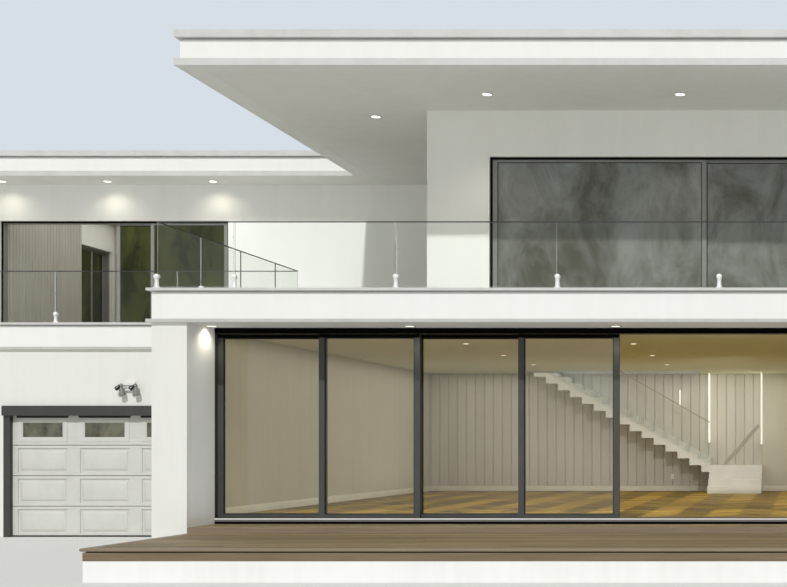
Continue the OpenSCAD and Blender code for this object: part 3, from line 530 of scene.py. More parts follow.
def add_piece(name: str, shape: Shape, finish: Finish, slot: Slot, body: str = "house",
              tone: np.ndarray | None = None) -> bpy.types.Object:
    """Makes a closed piece.

    Args:
        name: Name of the piece.
        shape: Its points in metres, in the frame's axes, and the point numbers of its faces.
        finish: Its finish.
        slot: The record's slot that the finish belongs to. Not used.
        body: CAD body that it rides on.
        tone: A value from 0 to 1 for each point, which makes a board or tile lighter or darker.

    Returns:
        The piece.
    """
    points, faces = shape
    mesh = bpy.data.meshes.new(name)
    mesh.from_pydata(points.reshape(-1, 3).tolist(), [], faces)
    work = bmesh.new()
    work.from_mesh(mesh)
    bmesh.ops.recalc_face_normals(work, faces=work.faces[:])
    work.to_mesh(mesh)
    work.free()
    if tone is not None:
        values = mesh.attributes.new("tone", "FLOAT", "POINT")
        values.data.foreach_set("value", tone.astype(np.float32).ravel())
    mesh.shade_smooth()
    mesh.set_sharp_from_angle(angle=math.radians(32))
    mesh.materials.append(finish.material())
    piece = bpy.data.objects.new(name, mesh)
    bpy.context.scene.collection.objects.link(piece)
    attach(piece, body)
    return piece


def at(x: float | np.ndarray, y: float | np.ndarray, z: float | np.ndarray) -> np.ndarray:
    """Points from their coordinates, each of them one value for all points or one each."""
    return np.stack(np.broadcast_arrays(x, y, z), -1).astype(float)


def bars(starts: np.ndarray | Triple, ends: np.ndarray | Triple, widths: np.ndarray | float,
         heights: np.ndarray | float, bevel: float = 0.002, up: np.ndarray = UP) -> Shape:
    """Straight bars with chamfered edges and ends.

    A point is start + t (end - start) + a across + b up, where (a, b) runs round an eight-cornered section
    and t runs through four rings. The first and the last ring are a bevel smaller.

    Args:
        starts: Start of each bar's centre line.
        ends: End of each bar's centre line.
        widths: Width of each bar.
        heights: Height of each bar.
        bevel: Size of the chamfers.
        up: Direction of the bars' height, one for all or one each.

    Returns:
        Points and faces.
    """
    starts, ends = np.atleast_2d(starts).astype(float), np.atleast_2d(ends).astype(float)
    count = len(starts)
    length = np.linalg.norm(ends - starts, axis=1, keepdims=True)
    along = (ends - starts) / length
    up = np.broadcast_to(up, starts.shape)
    across = np.cross(along, up)
    half_w = np.broadcast_to(widths, count)[:, None] / 2
    half_h = np.broadcast_to(heights, count)[:, None] / 2
    side = np.array([1, 1, 1, 1, -1, -1, -1, -1])
    top = np.array([-1, -1, 1, 1, 1, 1, -1, -1])
    a = side * (half_w - np.array([1, 0, 0, 1, 1, 0, 0, 1]) * bevel)
    b = top * (half_h - np.array([0, 1, 1, 0, 0, 1, 1, 0]) * bevel)
    rings = []
    for t, inner in ((0.0, bevel), (bevel, 0.0), (length - bevel, 0.0), (length, bevel)):
        sideways = (a * (1 - inner / half_w))[..., None] * across[:, None]
        upward = (b * (1 - inner / half_h))[..., None] * up[:, None]
        rings.append((starts + along * t)[:, None] + sideways + upward)
    faces = lattice(count, 4, 8, False, True).tolist()
    first = np.arange(count)[:, None] * BAR_POINTS
    faces += (first + np.arange(8)[::-1]).tolist() + (first + BAR_POINTS - 8 + np.arange(8)).tolist()
    return np.stack(rings, 1), faces


def tones(count: int, seed: int) -> np.ndarray:
    """A fixed random tone for each of several bars, repeated for its points."""
    return np.repeat(np.random.default_rng(seed).random(count), BAR_POINTS)


def oblong(x0: float, x1: float, z0: float, z1: float) -> Pairs:
    """The corners of an oblong profile."""
    return (x0, z0), (x0, z1), (x1, z1), (x1, z0)


def sweep(profile: np.ndarray | Pairs, path: np.ndarray | Pairs, closed: bool = False) -> Shape:
    """A closed profile carried along a plan path with mitred corners.

    A point is the path's corner moved sideways by the profile's first value along the mitre, to the right of
    the way along the path, and put at the height of the profile's second value.

    Args:
        profile: Sideways offset and height of each point of the closed profile.
        path: Corners in plan.
        closed: Whether the path ends where it starts.

    Returns:
        Points and faces.
    """
    path, profile = np.asarray(path, float), np.asarray(profile, float)
    steps = np.roll(path, -1, 0) - path
    steps /= np.linalg.norm(steps, axis=1, keepdims=True)
    before, after = np.roll(steps, 1, 0), steps.copy()
    if not closed:
        before[0], after[-1] = after[0], before[-1]
    right_before, right_after = (np.stack([way[:, 1], -way[:, 0]], 1) for way in (before, after))
    mitre = (right_before + right_after) / (1 + (right_before * right_after).sum(1, keepdims=True))
    plan = path[:, None] + profile[None, :, :1] * mitre[:, None]
    height = np.broadcast_to(profile[None, :, 1:], (*plan.shape[:2], 1))
    rows, columns = plan.shape[:2]
    faces = lattice(1, rows, columns, closed, True).tolist()
    if not closed:
        faces += [list(range(columns))[::-1], list(range((rows - 1) * columns, rows * columns))]
    return np.concatenate([plan, height], 2), faces


def mouldings(origins: np.ndarray, right: np.ndarray, sizes: np.ndarray, profile: Pairs,
              capped: bool = False) -> Shape:
    """Rings of a profile round several upright rectangles, with mitred corners.

    A point is a rectangle's corner moved inwards along both sides by the profile's first value and out of
    the rectangle's plane, along right x up, by its second value.

    Args:
        origins: Lowest corner of each rectangle.
        right: Unit direction of its width.
        sizes: Width and height of each rectangle.
        profile: Inset and rise of each point of the profile.
        capped: Closes the ring over its first and its last profile point. Otherwise the profile is closed.

    Returns:
        Points and faces.
    """
    origins, profile = np.asarray(origins, float), np.asarray(profile, float)
    count, steps = len(origins), len(profile)
    sizes = np.broadcast_to(sizes, (count, 2))
    right = np.broadcast_to(right, origins.shape)
    out = np.cross(right, UP)
    inset = profile[None, :, None, 0]
    x = np.where([0, 1, 1, 0], sizes[:, None, None, 0] - inset, inset)
    z = np.where([0, 0, 1, 1], sizes[:, None, None, 1] - inset, inset)
    rise = np.broadcast_to(profile[None, :, None, 1], x.shape)
    points = (origins[:, None, None] + x[..., None] * right[:, None, None] + z[..., None] * UP
              + rise[..., None] * out[:, None, None])
    faces = lattice(count, steps, 4, not capped, True).tolist()
    if capped:
        first = np.arange(count)[:, None] * steps * 4
        faces += (first + np.arange(4)[::-1]).tolist() + (first + (steps - 1) * 4 + np.arange(4)).tolist()
    return points, faces


def lathe(profile: np.ndarray | Pairs, centres: np.ndarray, segments: int, axis: np.ndarray = UP) -> Shape:
    """A closed profile turned round an axis through each of several centres.

    A point is centre + r (cos a side + sin a other) + h axis, where r and h are the radius and the height of
    a profile point.

    Args:
        profile: Radius and height of each point of the closed profile. No radius is 0.
        centres: Centre of each copy.
        segments: Number of steps round.
        axis: Unit direction of the axis.

    Returns:
        Points and faces.
    """
    centres, profile = np.atleast_2d(centres), np.asarray(profile, float)
    other = np.cross(axis, X if abs(axis[0]) < 0.9 else Y)
    other /= np.linalg.norm(other)
    side = np.cross(other, axis)
    turn = np.linspace(0, 2 * np.pi, segments, endpoint=False)
    outward = np.cos(turn)[:, None] * side + np.sin(turn)[:, None] * other
    shape = profile[None, :, 0, None] * outward[:, None] + profile[None, :, 1, None] * axis
    faces = lattice(len(centres), segments, len(profile), True, True).tolist()
    return centres[:, None, None] + shape[None], faces


def merged(*parts: Shape) -> Shape:
    """Joins several shapes into one.

    Args:
        parts: The shapes.

    Returns:
        Points and faces.
    """
    points, faces, offset = [], [], 0
    for part_points, part_faces in parts:
        flat = part_points.reshape(-1, 3)
        points.append(flat)
        faces += [[number + offset for number in face] for face in part_faces]
        offset += len(flat)
    return np.concatenate(points), faces


def corners(node: str) -> np.ndarray:
    """Lowest and highest corner of a CAD node."""
    return np.array(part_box(node)[:2], float)


def islands(node: str) -> np.ndarray:
    """Finds the separate solids of a CAD node.

    Args:
        node: Name of the node.

    Returns:
        Lowest and highest corner of each solid, in order of the lowest.
    """
    work = bmesh.new()
    work.from_mesh(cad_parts[node].data)
    bmesh.ops.remove_doubles(work, verts=work.verts[:], dist=1e-5)
    left = set(work.verts)
    found = []
    while left:
        group, edge = set(), [left.pop()]
        while edge:
            point = edge.pop()
            group.add(point)
            near = [e.other_vert(point) for e in point.link_edges]
            edge += [v for v in near if v in left]
            left.difference_update(near)
        places = np.array([v.co for v in group])
        found.append((places.min(0), places.max(0)))
    work.free()
    return np.array(sorted(found, key=lambda box: tuple(np.round(box[0], 3))))


def add_lamp(name: str, kind: str, place: Triple, way: Triple, power: float, colour: str,
             **settings: object) -> bpy.types.Object:
    """Adds a lamp that points along a direction.

    Args:
        name: Name of the lamp.
        kind: Its type.
        place: Its middle.
        way: Direction that its light goes in.
        power: Its power in watts, or a sun's strength.
        colour: Its colour as sRGB hex.
        settings: Other properties of its light.

    Returns:
        The lamp.
    """
    data = bpy.data.lights.new(name, kind)
    data.energy, data.color = power, linear(colour)[:3]
    for key, value in settings.items():
        setattr(data, key, value)
    lamp = bpy.data.objects.new(name, data)
    x, y, z = way
    lamp.location = place
    lamp.rotation_euler = math.atan2(math.hypot(x, y), -z), 0.0, math.atan2(-x, y)
    bpy.context.scene.collection.objects.link(lamp)
    return lamp


@dataclass
class PhotographCamera:
    """The camera at the photograph's place: eye height over the driveway, in front of the open bay."""

    place: Triple = (1.45, -20.5, 1.70)
    focal_px: float = 1320.0
    axis_px: tuple[float, float] = (799.0, 447.0)
    image_px: tuple[int, int] = (787, 587)
    sensor_mm: float = 36.0
    reach: float = 500.0

    def build(self) -> None:
        """The camera looks along +Y. Its shift moves the picture's middle off the vanishing point."""
        wide, tall = self.image_px
        data = bpy.data.cameras.new("photograph_camera")
        data.sensor_width = self.sensor_mm
        data.lens = self.focal_px * self.sensor_mm / wide
        data.shift_x = (wide / 2 - self.axis_px[0]) / wide
        data.shift_y = (self.axis_px[1] - tall / 2) / wide
        data.clip_end = self.reach
        camera = bpy.data.objects.new("photograph_camera", data)
        camera.location = self.place
        camera.rotation_euler = (math.pi / 2, 0.0, 0.0)
        bpy.context.scene.collection.objects.link(camera)
        bpy.context.scene.camera = camera
        LOG.info("camera lens %.1f mm, shift %.3f %.3f", data.lens, data.shift_x, data.shift_y)


@dataclass
class Studio:
    """Plain floor, pale backdrop and soft light from the side that the photograph's sunlight comes from."""

    travel: Triple = (-0.05, 1.0, -0.80)
    key_strength: float = 1.95
    key_soft_deg: float = 1.5
    fill: str = "#B7B8B5"
    backdrop: str = "#D6DFE6"
    floor: str = "#E0E0DD"
    floor_radii: tuple[float, ...] = (0.5, 20.0, 60.0, 160.0)
    floor_steps: int = 64
    floor_drop: float = 0.002
    # Soft panels: name, middle, width and length, the way it points, power in watts and colour
    panels: tuple[tuple[str, Triple, tuple[float, float], Triple, float, str], ...] = (
        ("living_room", (0.0, 6.35, 3.5), (15.0, 11.8), (0, 0, -1), 405.0, "#FFFDF8"),
        ("room_floor", (-1.5, 9.6, 0.68), (12.0, 4.0), (0, 0, 1), 42.0, "#FFFEF8"),
        ("left_pier", (-7.0, -0.6, 2.0), (0.8, 2.8), (-1, 0, 0), 1.6, "#E4EDFF"),
        ("right_pier", (7.0, -0.6, 2.0), (0.8, 2.8), (1, 0, 0), 1.6, "#E4EDFF"),
        ("wing_room", (-10.5, 10.4, 7.25), (10.0, 4.2), (0, 0, -1), 170.0, "#FFFDF8"),
        ("terrace", (-11.9, 6.2, 4.2), (7.5, 2.8), (0, 0, 1), 27.0, "#F2F6FF"),
        ("porch", (0.0, -1.9, 0.56), (14.6, 3.2), (0, 0, 1), 80.0, "#E4EDFF"))

    # Narrow lamp in the living room that throws the stair's shadow on the boards
    beam_place: Triple = (1.2, 4.0, 2.85)
    beam_way: Triple = (-0.40, 1.0, -0.11)
    beam_w: float = 420.0
    beam_deg: float = 48.0
    beam_r: float = 0.12

    def build(self) -> None:
        """Makes the lamps, the world and the floor. Neither the camera nor a gloss shows a panel."""
        bpy.context.scene.view_settings.view_transform = "Standard"
        add_lamp("key_light", "SUN", (0, 0, 0), self.travel, self.key_strength, "#FFFFFF",
                 angle=math.radians(self.key_soft_deg))
        add_lamp("beam_stair", "SPOT", self.beam_place, self.beam_way, self.beam_w, "#FFFFFF",
                 spot_size=math.radians(self.beam_deg), spot_blend=1.0, shadow_soft_size=self.beam_r)
        for name, place, (width, length), way, power, colour in self.panels:
            panel = add_lamp(f"panel_{name}", "AREA", place, way, power, colour, shape="RECTANGLE",
                             size=width, size_y=length)
            panel.visible_camera = panel.visible_glossy = panel.visible_transmission = False
        self.make_world()
        self.make_floor()

    def make_world(self) -> None:
        """The fill lights the house. The paler backdrop shows behind it, in glass and in metal."""
        world = bpy.data.worlds.new("studio")
        world.use_nodes = True
        tree = world.node_tree
        tree.nodes.clear()
        ray = add_node(tree, "LightPath").outputs
        seen = add_node(tree, "Math", {0: ray["Is Camera Ray"], 1: ray["Is Glossy Ray"]},
                        operation="MAXIMUM")
        seen = add_node(tree, "Math", {0: seen, 1: ray["Is Transmission Ray"]}, operation="MAXIMUM")
        fill = add_node(tree, "Background", {"Color": linear(self.fill), "Strength": 1.0})
        shown = add_node(tree, "Background", {"Color": linear(self.backdrop), "Strength": 1.0})
        both = add_node(tree, "MixShader", {0: seen, 1: fill, 2: shown})
        add_node(tree, "OutputWorld", {"Surface": both})
        bpy.context.scene.world = world

    def make_floor(self) -> None:
        """A round plain floor just under the house. A point is r (cos a, sin a), a little under height 0."""
        turn = np.linspace(0, 2 * np.pi, self.floor_steps, endpoint=False)
        radii = np.array(self.floor_radii)[:, None]
        points = at(radii * np.cos(turn), radii * np.sin(turn), -self.floor_drop)
        faces = lattice(1, len(radii), self.floor_steps, False, True).tolist()
        mesh = bpy.data.meshes.new("studio_floor")
        mesh.from_pydata(points.reshape(-1, 3).tolist(), [], faces + [list(range(self.floor_steps))])
        paint = Mottled("studio_floor_paint", self.floor, self.floor, 2.0, 40.0, 0.9, 0.0)
        mesh.materials.append(paint.material())
        floor = bpy.data.objects.new("studio_floor", mesh)
        bpy.context.scene.collection.objects.link(floor)
        floor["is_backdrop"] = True


@dataclass
class Carcass:
    """The solids of the house that keep their shape, with the nodes that get each finish."""

    finishes: dict[Finish, str] = field(default_factory=lambda: {
        PLINTH_RENDER: "foundation",
        OAK_BASE: "ground_floor",
        RENDER_WHITE: "left_pier right_pier ground_left_wall ground_right_wall ground_back_wall "
                      "garage_front_wall garage_left_wall garage_back_wall upper_left_wall upper_right_wall "
                      "upper_back_wall wing_left_wall",
        RENDER_WHITE_LIT: "upper_front_wall wing_front_wall",
        SOFFIT_PAINT: "first_floor_slab stairwell_slabs terrace_slab wing_roof_slab",
        ROOF_SOFFIT_SHADED: "roof_slab",
        BAND_PAINT: "balcony_edge roof_edge",
        COPING_SHEET: "balcony_coping roof_coping",
        GARAGE_CONCRETE: "garage_floor",
        GATE_STEEL: "garage_door floodlight",
        GATE_GLASS: "garage_door_glass",
        LINTEL_COAT: "garage_door_frame",
        DECK_WOOD: "deck deck_step",
        DOOR_COAT: "door_frame right_door_leaves door_leaf_1 door_leaf_2 door_leaf_3 door_leaf_4",
        WINDOW_GLASS: "right_door_glass door_glass_1 door_glass_2 door_glass_3 door_glass_4",
        WINDOW_COAT: "upper_window_frames ground_window_frames",
        UPPER_GLASS_PAINTED_REFLECTION: "upper_window_glass ground_window_glass",
        RAIL_GLASS: "railing_glass",
        RAIL_CAP: "railing_rail",
        FITTING: "railing_clamps",
        STAIR_PAINT: "stair_lower_flight stair_upper_flight",
        STAIR_GLASS: "stair_glass",
        HANDRAIL: "stair_handrail",
        LENS: "downlights"})

    def build(self) -> None:
        """Gives each node's object its material."""
        for finish, names in self.finishes.items():
            for name in names.split():
                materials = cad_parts[name].data.materials
                materials.clear()
                materials.append(finish.material())


@dataclass
class Deck:
    """Hardwood deck in front of the house and the raised strip between the piers."""

    board_w: float = 0.14
    board_t: float = 0.028
    board_l: float = 3.7
    shortest: float = 0.3
    gap: float = 0.006
    nose_w: float = 0.145
    nose_t: float = 0.04
    nose_r: float = 0.012
    riser_t: float = 0.03
    riser_h: float = 0.09
    riser_up: float = 0.035
    fascia_t: float = 0.022
    fascia_in: float = 0.025
    fascia_top: float = 0.375
    ribs: int = 7
    rib_depth: float = 0.004
    joists: int = 31
    joist_z: float = 0.336
    joist_w: float = 0.06
    joist_h: float = 0.131
    joist_in: float = 0.2
    joist_y: float = 0.09
    shadow_in: tuple[float, float] = (0.055, 0.075)
    ease: float = 0.004

    def rows(self, x: float, y0: float, y1: float, top: float) -> Shape:
        """Rows of boards along X between two depths, with staggered butt joints.

        Args:
            x: Half of the rows' length.
            y0: Front of the first row.
            y1: Back of the last row.
            top: Height of the boards' upper face.

        Returns:
            Points and faces.
        """
        count = round((y1 - y0) / (self.board_w + self.gap))
        pitch = (y1 - y0) / count
        row = np.arange(count)
        phase = (row * 7 % 5) / 5 * self.board_l
        cuts = -x - self.board_l + phase[:, None] + np.arange(round(2 * x / self.board_l) + 3) * self.board_l
        starts, ends = np.clip(cuts[:, :-1], -x, x), np.clip(cuts[:, 1:], -x, x) - self.gap / 2
        y = np.broadcast_to((y0 + (row + 0.5) * pitch)[:, None], starts.shape)
        keep = ends - starts > self.shortest
        z = top - self.board_t / 2
        return bars(at(starts[keep], y[keep], z), at(ends[keep], y[keep], z), pitch - self.gap, self.board_t,
                    self.ease)

    def build(self) -> Pieces:
        """Makes the boards, the nose, the ribbed edge and what carries them.

        Returns:
            The pieces, one by one.
        """
        low, high = corners("deck")
        step = corners("deck_step")[1]
        x, y0, y1, top = high[0], low[1], high[1], high[2]
        edge = self.nose_w + self.gap
        shape = merged(self.rows(x - edge, y0 + edge, y1, top),
                       self.rows(step[0], y1 + self.riser_t, step[1], step[2]))
        boards = self.piece("deck_boards", shape, DECK_WOOD, 11)
        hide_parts("deck", "deck_step")
        yield boards
        r, under = self.nose_r, top - self.nose_t
        nose = ((0, under + r), (0, top - r), (-r / 3, top - r / 3), (-r, top), (-self.nose_w, top),
                (-self.nose_w, under), (-r, under))
        path = (-x, y1), (-x, y0), (x, y0), (x, y1)
        yield self.piece("deck_nose", sweep(nose, path), DECK_NOSE)
        y, z = y1 + self.riser_t / 2, top + self.riser_up
        riser = bars((-step[0], y, z), (step[0], y, z), self.riser_t, self.riser_h, self.ease)
        yield self.piece("deck_riser", riser, DECK_NOSE)
        rib_z = np.linspace(low[2], self.fascia_top, 4 * self.ribs + 1)
        rib_x = np.where(np.arange(len(rib_z)) % 4 < 2, 0.0, -self.rib_depth) - self.fascia_in
        back = -self.fascia_in - self.fascia_t
        face = *zip(rib_x, rib_z), (back, self.fascia_top), (back, low[2])
        yield self.piece("deck_edge_board", sweep(face, path), DECK_EDGE)
        # The board behind the edge and the joists are near black: painted shade under the boards
        front, rear = self.shadow_in
        shadow = sweep(oblong(-front, -rear, low[2], under), path)
        yield self.piece("deck_shadow_board", shadow, UNDERDECK_SHADE_BLACK)
        joist_x = np.linspace(self.joist_in - x, x - self.joist_in, self.joists)
        joists = bars(at(joist_x, y0 + self.joist_y, self.joist_z), at(joist_x, step[1], self.joist_z),
                      self.joist_w, self.joist_h, self.ease)
        yield self.piece("deck_joists", joists, UNDERDECK_SHADE_BLACK)

    def piece(self, name: str, shape: Shape, finish: Finish, seed: int = 0) -> bpy.types.Object:
        """Makes one wooden piece, with a tone for each board where a seed is given.

        Args:
            name: Name of the piece.
            shape: Its points and faces.
            finish: Its finish.
            seed: Seed of the tones.

        Returns:
            The piece.
        """
        count = shape[0].size // 3
        tone = tones(count // BAR_POINTS, seed) if seed else np.full(count, 0.5)
        return add_piece(name, shape, finish, Slot.DECK, tone=tone)


@dataclass
class GarageDoor:
    """Sectional door: four moulded sections with raised fields and a row of windows in the top one."""

    rows: int = 4
    columns: int = 4
    depth: float = 0.045
    groove: float = 0.010
    sink: float = 0.024
    field_in: tuple[float, float] = (0.118, 0.06)
    pane_in: tuple[float, float] = (0.212, 0.14)
    # Thickness and height of the seal at the foot, of the black strip of painted shadow over each pane and
    # of the stop at the side
    foot_seal: tuple[float, float] = (0.012, 0.026)
    pane_painted_shadow: tuple[float, float] = (0.02, 0.05)
    side_stop: tuple[float, float] = (0.03, 0.09)
    shade_over: float = 0.02
    # A flat groove behind the frame, and a slope up to the flat of the field
    bead: Pairs = ((-0.002, -0.026), (-0.002, -0.0225), (0.038, -0.0225), (0.044, -0.018), (0.078, 0.004),
                   (0.084, 0.006))
    trim: Pairs = ((0.0, -0.004), (0.004, 0.010), (0.014, 0.012), (0.06, 0.012), (0.094, -0.012),
                   (0.094, -0.028), (0.085, -0.028), (0.076, -0.004))

    def __post_init__(self) -> None:
        """Takes the door's place from its solid."""
        self.low, self.high = corners("garage_door")
        self.face_y = self.high[1] - self.depth
        self.section = self.high[2] / self.rows
        self.column = (self.high[0] - self.low[0]) / self.columns
        self.column_x = self.low[0] + np.arange(self.columns + 1) * self.column

    def across(self, y: float, z: np.ndarray | float, thick: float, height: np.ndarray | float,
               bevel: float) -> Shape:
        """Bars over the door's whole width, with their middle at y and z."""
        return bars(at(self.low[0], y, z), at(self.high[0], y, z), thick, height, bevel)

    def grille(self, base: np.ndarray, head: float, inset: tuple[float, float], thick: float,
               bevel: float) -> Shape:
        """Rails and stiles round the openings of some sections.

        Args:
            base: Height of each section's foot.
            head: Gap over its upper rail.
            inset: How far stiles reach in from the columns' edges, and rails from the section's.
            thick: Their thickness, from the outer face inwards.
            bevel: Size of the rails' chamfers.

        Returns:
            Points and faces.
        """
        inset_x, inset_z = inset
        y = self.face_y + thick / 2
        z0 = np.stack([base + self.groove / 2, base + self.section - inset_z], 1).ravel()
        z1 = np.stack([base + inset_z, base + self.section - head], 1).ravel()
        left = np.maximum(self.column_x - inset_x, self.low[0])
        right = np.minimum(self.column_x + inset_x, self.high[0])
        x, z = (grid.ravel() for grid in np.meshgrid((left + right) / 2, base))
        stiles = bars(at(x, y, z + inset_z), at(x, y, z + self.section - inset_z),
                      np.tile(right - left, len(base)), thick, up=Y)
        return merged(self.across(y, (z0 + z1) / 2, thick, z1 - z0, bevel), stiles)

    def build(self) -> Pieces:
        """Makes the sections, their fields, the window mouldings, the seals and the black strips of painted
        shadow over the panes.

        Returns:
            The pieces, one by one.
        """
        lower, top = np.split(np.arange(self.rows) * self.section, [self.rows - 1])
        plain = self.across(self.face_y + (self.depth + self.sink) / 2, lower + self.section / 2,
                            self.depth - self.sink, self.section - self.groove, 0.002)
        shape = merged(plain, self.grille(lower, self.groove / 2, self.field_in, self.sink, 0.003),
                       self.grille(top, 0.0, self.pane_in, self.depth, 0.004))
        sections = add_piece("garage_door_sections", shape, GATE_STEEL, Slot.GATE)
        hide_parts("garage_door")
        yield sections
        inset_x, inset_z = self.field_in
        field_x = self.column_x[:-1] + inset_x
        size = self.column - 2 * inset_x, self.section - 2 * inset_z
        for name, base, profile in (("fields", lower, self.bead), ("window_trim", top, self.trim)):
            x, z = (grid.ravel() for grid in np.meshgrid(field_x, base + inset_z, indexing="ij"))
            shape = mouldings(at(x, self.face_y, z), X, size, profile, name == "fields")
            yield add_piece(f"garage_door_{name}", shape, GATE_STEEL, Slot.GATE)
        seal = self.across(self.face_y - 0.004, 0.015, *self.foot_seal, 0.003)
        # A black rubber strip over each window is painted shadow under the lintel
        y, z = self.face_y - 0.006, self.high[2] - 0.032
        shade = bars(at(field_x - self.shade_over, y, z), at(field_x + size[0] + self.shade_over, y, z),
                     *self.pane_painted_shadow, 0.003)
        x, y, z = self.low[0], self.face_y - 0.012, self.high[2] - 0.085
        stop = bars((x - 0.035, y, z), (x + 0.025, y, z), *self.side_stop, 0.004)
        yield add_piece("garage_door_seals_and_painted_shadow", merged(seal, shade, stop), RUBBER, Slot.FRAME)


@dataclass
class Glazing:
    """Panes and black painted-shade covers of the upper windows, gaskets, the sliding doors' strips and the
    sills.
    """

    gasket_w: float = 0.014
    sash_over: float = 0.008
    leaf_over: float = 0.021
    recess_w: float = 0.043
    cover_h: float = 0.054
    wing_x: float = -9.5
    rear_y: float = 10.0
    sill_w: float = 0.11
    sill_t: float = 0.006
    sill_up: float = 0.012
    sill_over: float = 0.02
    sill_from: float = 2.0

    def gaskets(self, panes: np.ndarray, over: float) -> Shape:
        """Rings of gasket on both faces of several panes.

        Args:
            panes: Lowest and highest corner of each pane.
            over: How far the frame stands over the pane.

        Returns:
            Points and faces.
        """
        w, rise = self.gasket_w, over - 0.003
        profile = (-0.002, 0.0), (-0.002, rise), (w / 2, rise), (w, rise / 3), (w, 0.0)
        low, size = panes[:, 0], np.ptp(panes, 1)
        across = np.where((size[:, 0] > size[:, 1])[:, None], X, Y)
        origins = np.stack([low, low + size * (X + Y)], 1).reshape(-1, 3)
        right = np.stack([across, -across], 1).reshape(-1, 3)
        sizes = np.stack([size[:, :2].max(1), size[:, 2]], 1)
        return mouldings(origins, right, np.repeat(sizes, 2, 0), profile)

    def sheets(self) -> list[bpy.types.Object]:
        """The upper windows' panes with ground edges and painted reflection, those of the wing darker and
        olive.

        Returns:
            The two pieces.
        """
        panes = islands("upper_window_glass")
        wing = panes[:, 0, 0] < self.wing_x
        made = []
        for name, finish, rows in (("upper_panes", UPPER_GLASS_PAINTED_REFLECTION, ~wing), ("wing_panes", WING_GLASS, wing)):
            middle, size = panes[rows].mean(1), np.ptp(panes[rows], 1)
            half = np.where((size[:, 0] > size[:, 1])[:, None], X, Y) * size / 2
            shape = bars(middle - half, middle + half, size[:, :2].min(1), size[:, 2])
            made.append(add_piece(name, shape, finish, Slot.GLASS))
        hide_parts("upper_window_glass")
        return made

    def shade_covers(self) -> bpy.types.Object:
        """Black covers on the outer face of each upper window's outer frame, 3 mm proud: painted shade in
        the window's recess.

        Returns:
            The covers, as one piece.
        """
        boxes = islands("upper_window_frames")
        origins, right, sizes = [], [], []
        for low, high in boxes:
            if any((a < low + 0.001).all() and (b > high - 0.001).all()
                   and np.prod(b - a) > 1.1 * np.prod(high - low) for a, b in boxes):
                continue
            width, depth, height = high - low
            if width > depth:
                turned = low[1] >= self.rear_y
                origins.append([high[0], high[1], low[2]] if turned else low)
                right.append(-X if turned else X)
            else:
                turned = low[0] >= 0
                origins.append([high[0], low[1], low[2]] if turned else [low[0], high[1], low[2]])
                right.append(Y if turned else -Y)
            sizes.append([max(width, depth), height])
        w = self.recess_w
        profile = (0.0, -0.01), (0.0, 0.003), (w - 0.002, 0.003), (w, 0.001), (w, -0.01)
        shape = mouldings(np.array(origins), np.array(right), np.array(sizes), profile)
        return add_piece("window_frame_painted_shade", shape, SHADE_BLACK_COAT, Slot.FRAME)

    def build(self) -> Pieces:
        """Makes the panes, the black painted-shade covers and the gaskets, the strips on the sliding doors'
        frame and the sills.

        Returns:
            The pieces, one by one.
        """
        yield from self.sheets()
        yield self.shade_covers()
        for i in range(1, 5):
            shape = self.gaskets(corners(f"door_glass_{i}")[None], self.leaf_over)
            yield add_piece(f"leaf_{i}_gaskets", shape, RUBBER, Slot.FRAME, f"leaf_{i}")
            # The black cover over each leaf's top rail is painted shade under the balcony
            low, high = corners(f"door_leaf_{i}")
            y, z = low[1] + 0.001, high[2] - self.cover_h / 2 - 0.001
            cover = bars((low[0] + 0.002, y, z), (high[0] - 0.002, y, z), 0.006, self.cover_h, 0.001)
            yield add_piece(f"leaf_{i}_top_rail_painted_shade", cover, SHADE_BLACK_COAT, Slot.FRAME, f"leaf_{i}")
        right = self.gaskets(islands("right_door_glass"), self.leaf_over)
        yield add_piece("right_door_gaskets", right, RUBBER, Slot.FRAME)
        panes = np.concatenate([islands("upper_window_glass"), islands("ground_window_glass")])
        yield add_piece("window_gaskets", self.gaskets(panes, self.sash_over), RUBBER, Slot.FRAME)
        low, high = corners("door_frame")
        # The black strips under the threshold and over the door's head are painted shade
        for name, out, z, thick, height, finish in (
                ("threshold", 0.004, 0.567, 0.008, 0.042, THRESHOLD),
                ("threshold_nose", 0.004, 0.587, 0.014, 0.020, THRESHOLD_NOSE),
                ("threshold_painted_shade", 0.003, 0.528, 0.006, 0.034, SHADE_BLACK_COAT),
                ("head_painted_shade", 0.003, high[2] - 0.0425, 0.008, 0.085, SHADE_BLACK_COAT)):
            strip = bars((low[0], low[1] - out, z), (high[0], low[1] - out, z), thick, height)
            yield add_piece(f"door_{name}", strip, finish, Slot.FRAME)
        yield self.sills()

    def sills(self) -> bpy.types.Object:
        """Coated sheet sills under the ground storey's wide windows.

        Returns:
            The sills, as one piece.
        """
        starts, ends = [], []
        out, over = self.sill_w / 2, self.sill_over
        for low, high in islands("ground_window_frames"):
            z = low[2] + self.sill_up
            if high[0] - low[0] > self.sill_from:
                starts.append([low[0] - over, high[1] + out, z])
                ends.append([high[0] + over, high[1] + out, z])
            elif high[1] - low[1] > self.sill_from:
                starts.append([high[0] + out, low[1] - over, z])
                ends.append([high[0] + out, high[1] + over, z])
        shape = bars(np.array(starts), np.array(ends), self.sill_w, self.sill_t)
        return add_piece("window_sills", shape, COPING_SHEET, Slot.COPING)


